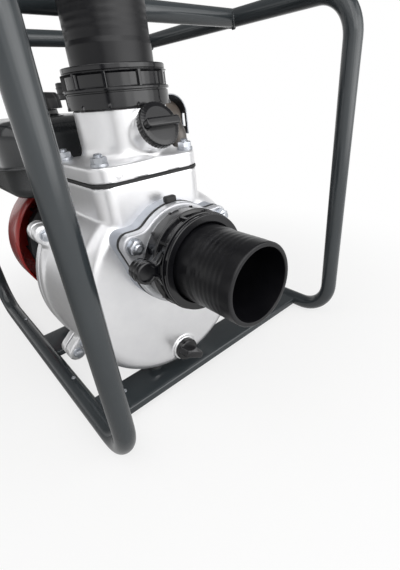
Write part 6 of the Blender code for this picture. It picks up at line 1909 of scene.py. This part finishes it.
@dataclass
class Studio:
    """Floor, light and camera."""

    eye: tuple[float, float, float] = (-0.25465, -0.43895, 0.33837)  # place of the camera in metres
    azimuth: float = -40.508  # where it looks, in degrees
    elevation: float = 28.472  # how far it looks down, in degrees
    roll: float = -4.760  # its roll in degrees
    focal: float = 343.496  # focal length in pixels
    centre: tuple[float, float] = (214.298, 279.253)  # pixel on the camera's axis
    image: tuple[int, int] = (400, 570)  # size of the picture in pixels
    # name, place, size and power of each soft lamp, in metres and watts
    lamps: tuple[tuple[str, tuple[float, float, float], float, float], ...] = (
        ("key", (0.80, -1.60, 0.90), 1.8, 12.5),
        ("front", (0.30, -1.60, 0.45), 1.6, 10.0),
        ("viewer_high", (-0.38, -1.05, 1.16), 1.0, 5.4),
        ("viewer_low", (-0.50, -1.25, 0.80), 1.1, 2.2),
        ("box", (-0.80, -0.24, 1.50), 1.6, 9.4),
    )
    floor: float = 4.0  # half the width of the floor in metres

    def camera(self) -> None:
        """Camera at the photograph's place, its axes the level right, the view's up and back, rolled."""
        a, e, r = (np.radians(v) for v in (self.azimuth, self.elevation, self.roll))
        back = np.array([np.sin(a) * np.cos(e), -np.cos(a) * np.cos(e), np.sin(e)])
        level = np.array([np.cos(a), np.sin(a), 0.0])
        up = np.cross(back, level)
        matrix = np.eye(4)
        right, top = level * np.cos(r) + up * np.sin(r), up * np.cos(r) - level * np.sin(r)
        matrix[:3, :3] = np.stack((right, top, back), 1)
        matrix[:3, 3] = self.eye
        data = bpy.data.cameras.new("view")
        longest = max(self.image)
        data.lens = self.focal * data.sensor_width / longest
        data.shift_x = (self.image[0] / 2 - self.centre[0]) / longest
        data.shift_y = (self.centre[1] - self.image[1] / 2) / longest
        data.clip_start = 0.01
        camera = bpy.data.objects.new("view", data)
        camera.matrix_world = Matrix(matrix.tolist())
        bpy.context.scene.collection.objects.link(camera)
        bpy.context.scene.camera = camera

    def lamp(self, name: str, place: Sequence[float], size: float, power: float) -> None:
        """Square soft lamp that faces the machine.

        Args:
            name: Name of the lamp.
            place: Its place in metres.
            size: Its width in metres.
            power: Its power in watts.
        """
        data = bpy.data.lights.new(name, "AREA")
        data.size, data.energy = size, power
        lamp = bpy.data.objects.new(name, data)
        back = np.array(place, float) - (0, 0, 0.2)
        back /= np.linalg.norm(back)
        side = np.cross((0, 0, 1), back)
        side /= np.linalg.norm(side)
        matrix = np.eye(4)
        matrix[:3, :3] = np.stack((side, np.cross(back, side), back), 1)
        matrix[:3, 3] = place
        lamp.matrix_world = Matrix(matrix.tolist())
        bpy.context.scene.collection.objects.link(lamp)

    def paper(self) -> bpy.types.Material:
        """White paper that keeps the machine's shadow near it, and further off shows as plain white to the
        camera and in reflections.

        Returns:
            The material.
        """
        paper = bpy.data.materials.new("white_paper_matt")
        paper.use_nodes = True
        tree = paper.node_tree
        sheet, out = tree.nodes["Principled BSDF"], tree.nodes["Material Output"]
        sheet.inputs["Roughness"].default_value = 0.9
        place = add_node(tree, "ShaderNodeTexCoord").outputs["Object"]
        away = add_node(tree, "ShaderNodeVectorMath", {0: place}, operation="LENGTH").outputs["Value"]
        far = add_node(tree, "ShaderNodeMapRange", {0: away, 1: 0.20, 2: 0.70, 3: 0.72, 4: 1.0},
                       interpolation_type="SMOOTHSTEP")
        path = add_node(tree, "ShaderNodeLightPath").outputs
        tones = {0: path["Is Camera Ray"], 6: linear("#A4A4A3"), 7: linear("#F4F4F3")}
        tint = add_node(tree, "ShaderNodeMix", tones, data_type="RGBA")
        tree.links.new(tint.outputs[2], sheet.inputs["Base Color"])
        behind = add_node(tree, "ShaderNodeVectorMath", {0: place, 1: (-0.45, 1.00, 0)},
                          operation="DISTANCE")
        further = add_node(tree, "ShaderNodeMapRange", {0: behind.outputs["Value"], 1: 0.90, 2: 1.65},
                           interpolation_type="SMOOTHSTEP")
        rays = {0: path["Is Glossy Ray"], 1: path["Is Transmission Ray"]}
        mirrored = add_node(tree, "ShaderNodeMath", rays, operation="MAXIMUM")
        shown = add_node(tree, "ShaderNodeMath", {0: path["Is Camera Ray"], 1: far.outputs[0]},
                         operation="MULTIPLY")
        parts = {0: mirrored.outputs[0], 1: further.outputs[0], 2: shown.outputs[0]}
        share = add_node(tree, "ShaderNodeMath", parts, operation="MULTIPLY_ADD")
        white = add_node(tree, "ShaderNodeEmission", {"Color": (1, 1, 1, 1), "Strength": 1.0})
        layers = {0: share.outputs[0], 1: sheet.outputs[0], 2: white.outputs[0]}
        mixed = add_node(tree, "ShaderNodeMixShader", layers)
        tree.links.new(mixed.outputs[0], out.inputs["Surface"])
        return paper

    def ground(self) -> None:
        """Square floor of white paper."""
        corners = np.column_stack((rectangle(2 * self.floor, 2 * self.floor, 0.0), np.zeros(4)))
        mesh = bpy.data.meshes.new("studio_floor")
        mesh.from_pydata(corners.tolist(), [], [(0, 1, 2, 3)])
        mesh.materials.append(self.paper())
        ground = bpy.data.objects.new("studio_floor", mesh)
        bpy.context.scene.collection.objects.link(ground)

    def world(self) -> None:
        """Room round the machine: white to the camera, in reflections white at the horizon and dimmer
        towards the ceiling, and a weak even light on everything else."""
        world = bpy.data.worlds.new("studio")
        bpy.context.scene.world = world
        world.use_nodes = True
        tree = world.node_tree
        shown = tree.nodes["Background"]
        shown.inputs["Color"].default_value = (1, 1, 1, 1)
        path = add_node(tree, "ShaderNodeLightPath").outputs
        towards = add_node(tree, "ShaderNodeTexCoord").outputs["Generated"]
        upward = add_node(tree, "ShaderNodeSeparateXYZ", {0: towards})
        dimming = {0: upward.outputs["Z"], 1: 0.05, 2: 0.5, 3: 1.0, 4: 0.25}
        ceiling = add_node(tree, "ShaderNodeMapRange", dimming, interpolation_type="SMOOTHSTEP")
        light = {0: path["Is Glossy Ray"], 2: 0.20, 3: ceiling.outputs[0]}
        mirrored = add_node(tree, "ShaderNodeMix", light)
        seen = add_node(tree, "ShaderNodeMath", {0: path["Is Camera Ray"], 1: path["Is Transmission Ray"]},
                        operation="MAXIMUM")
        strength = add_node(tree, "ShaderNodeMix", {0: seen.outputs[0], 2: mirrored.outputs[0], 3: 1.0})
        tree.links.new(strength.outputs[0], shown.inputs["Strength"])

    def build(self) -> None:
        """Make the floor, world, lamps and camera."""
        self.ground()
        self.world()
        for lamp in self.lamps:
            self.lamp(*lamp)
        self.camera()
        bpy.context.scene.view_settings.view_transform = "Standard"


def pump() -> list:
    """Sub-assemblies of the pump, each seated on the one before it.

    Returns:
        The casing, the flange on its pad with a coupling, and the head on its neck with a coupling.
    """
    height = CRANK_HEIGHT + PumpCasing.drop
    casing = PumpCasing(front_frame(AXIS, CASING_REAR, height))
    seat = CASING_REAR - casing.depth - casing.pad - GASKET_ROOM
    flange = SuctionFlange(front_frame(AXIS, seat, height))
    inlet = front_frame(AXIS, seat - flange.thickness - flange.rise, height)
    middle, top = CASING_REAR - casing.depth / 2, height + casing.top + GASKET_ROOM
    head = DischargeHead(plan_frame(AXIS + casing.shift, middle, top))
    outlet = plan_frame(AXIS, middle, top + head.shoulder)
    return [casing, flange, HoseCoupling("suction", inlet, lug_turn=170.0), head,
            HoseCoupling("discharge", outlet, lug_turn=115.0)]


def main() -> None:
    """Build every sub-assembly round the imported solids."""
    logging.basicConfig(level=logging.INFO, format="%(name)s: %(message)s")
    for startup in list(bpy.data.objects):
        bpy.data.objects.remove(startup)
    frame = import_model()
    shop = Workshop(frame)
    Studio().build()
    for assembly in (RollFrame(), *pump(), Engine(), Starter(), FuelTank(plan_frame(*TANK_SEAT)),
                     Exhaust(plan_frame(*MUFFLER_SEAT)), Intake()):
        assembly.build(shop)
    shop.dress(IRON, "volute", "impeller", "flywheel")
    shop.dress(ZINC, "crankshaft")
    shop.dress(RUBBER, "casing_seal", "shaft_seal", "suction_washer", "discharge_washer",
               "check_valve_flap")
    shop.dress(TEXTURED_PLASTIC, "recoil_pulley")
    log.info("%d pieces", len(shop.pieces))


if __name__ == "__main__":
    main()
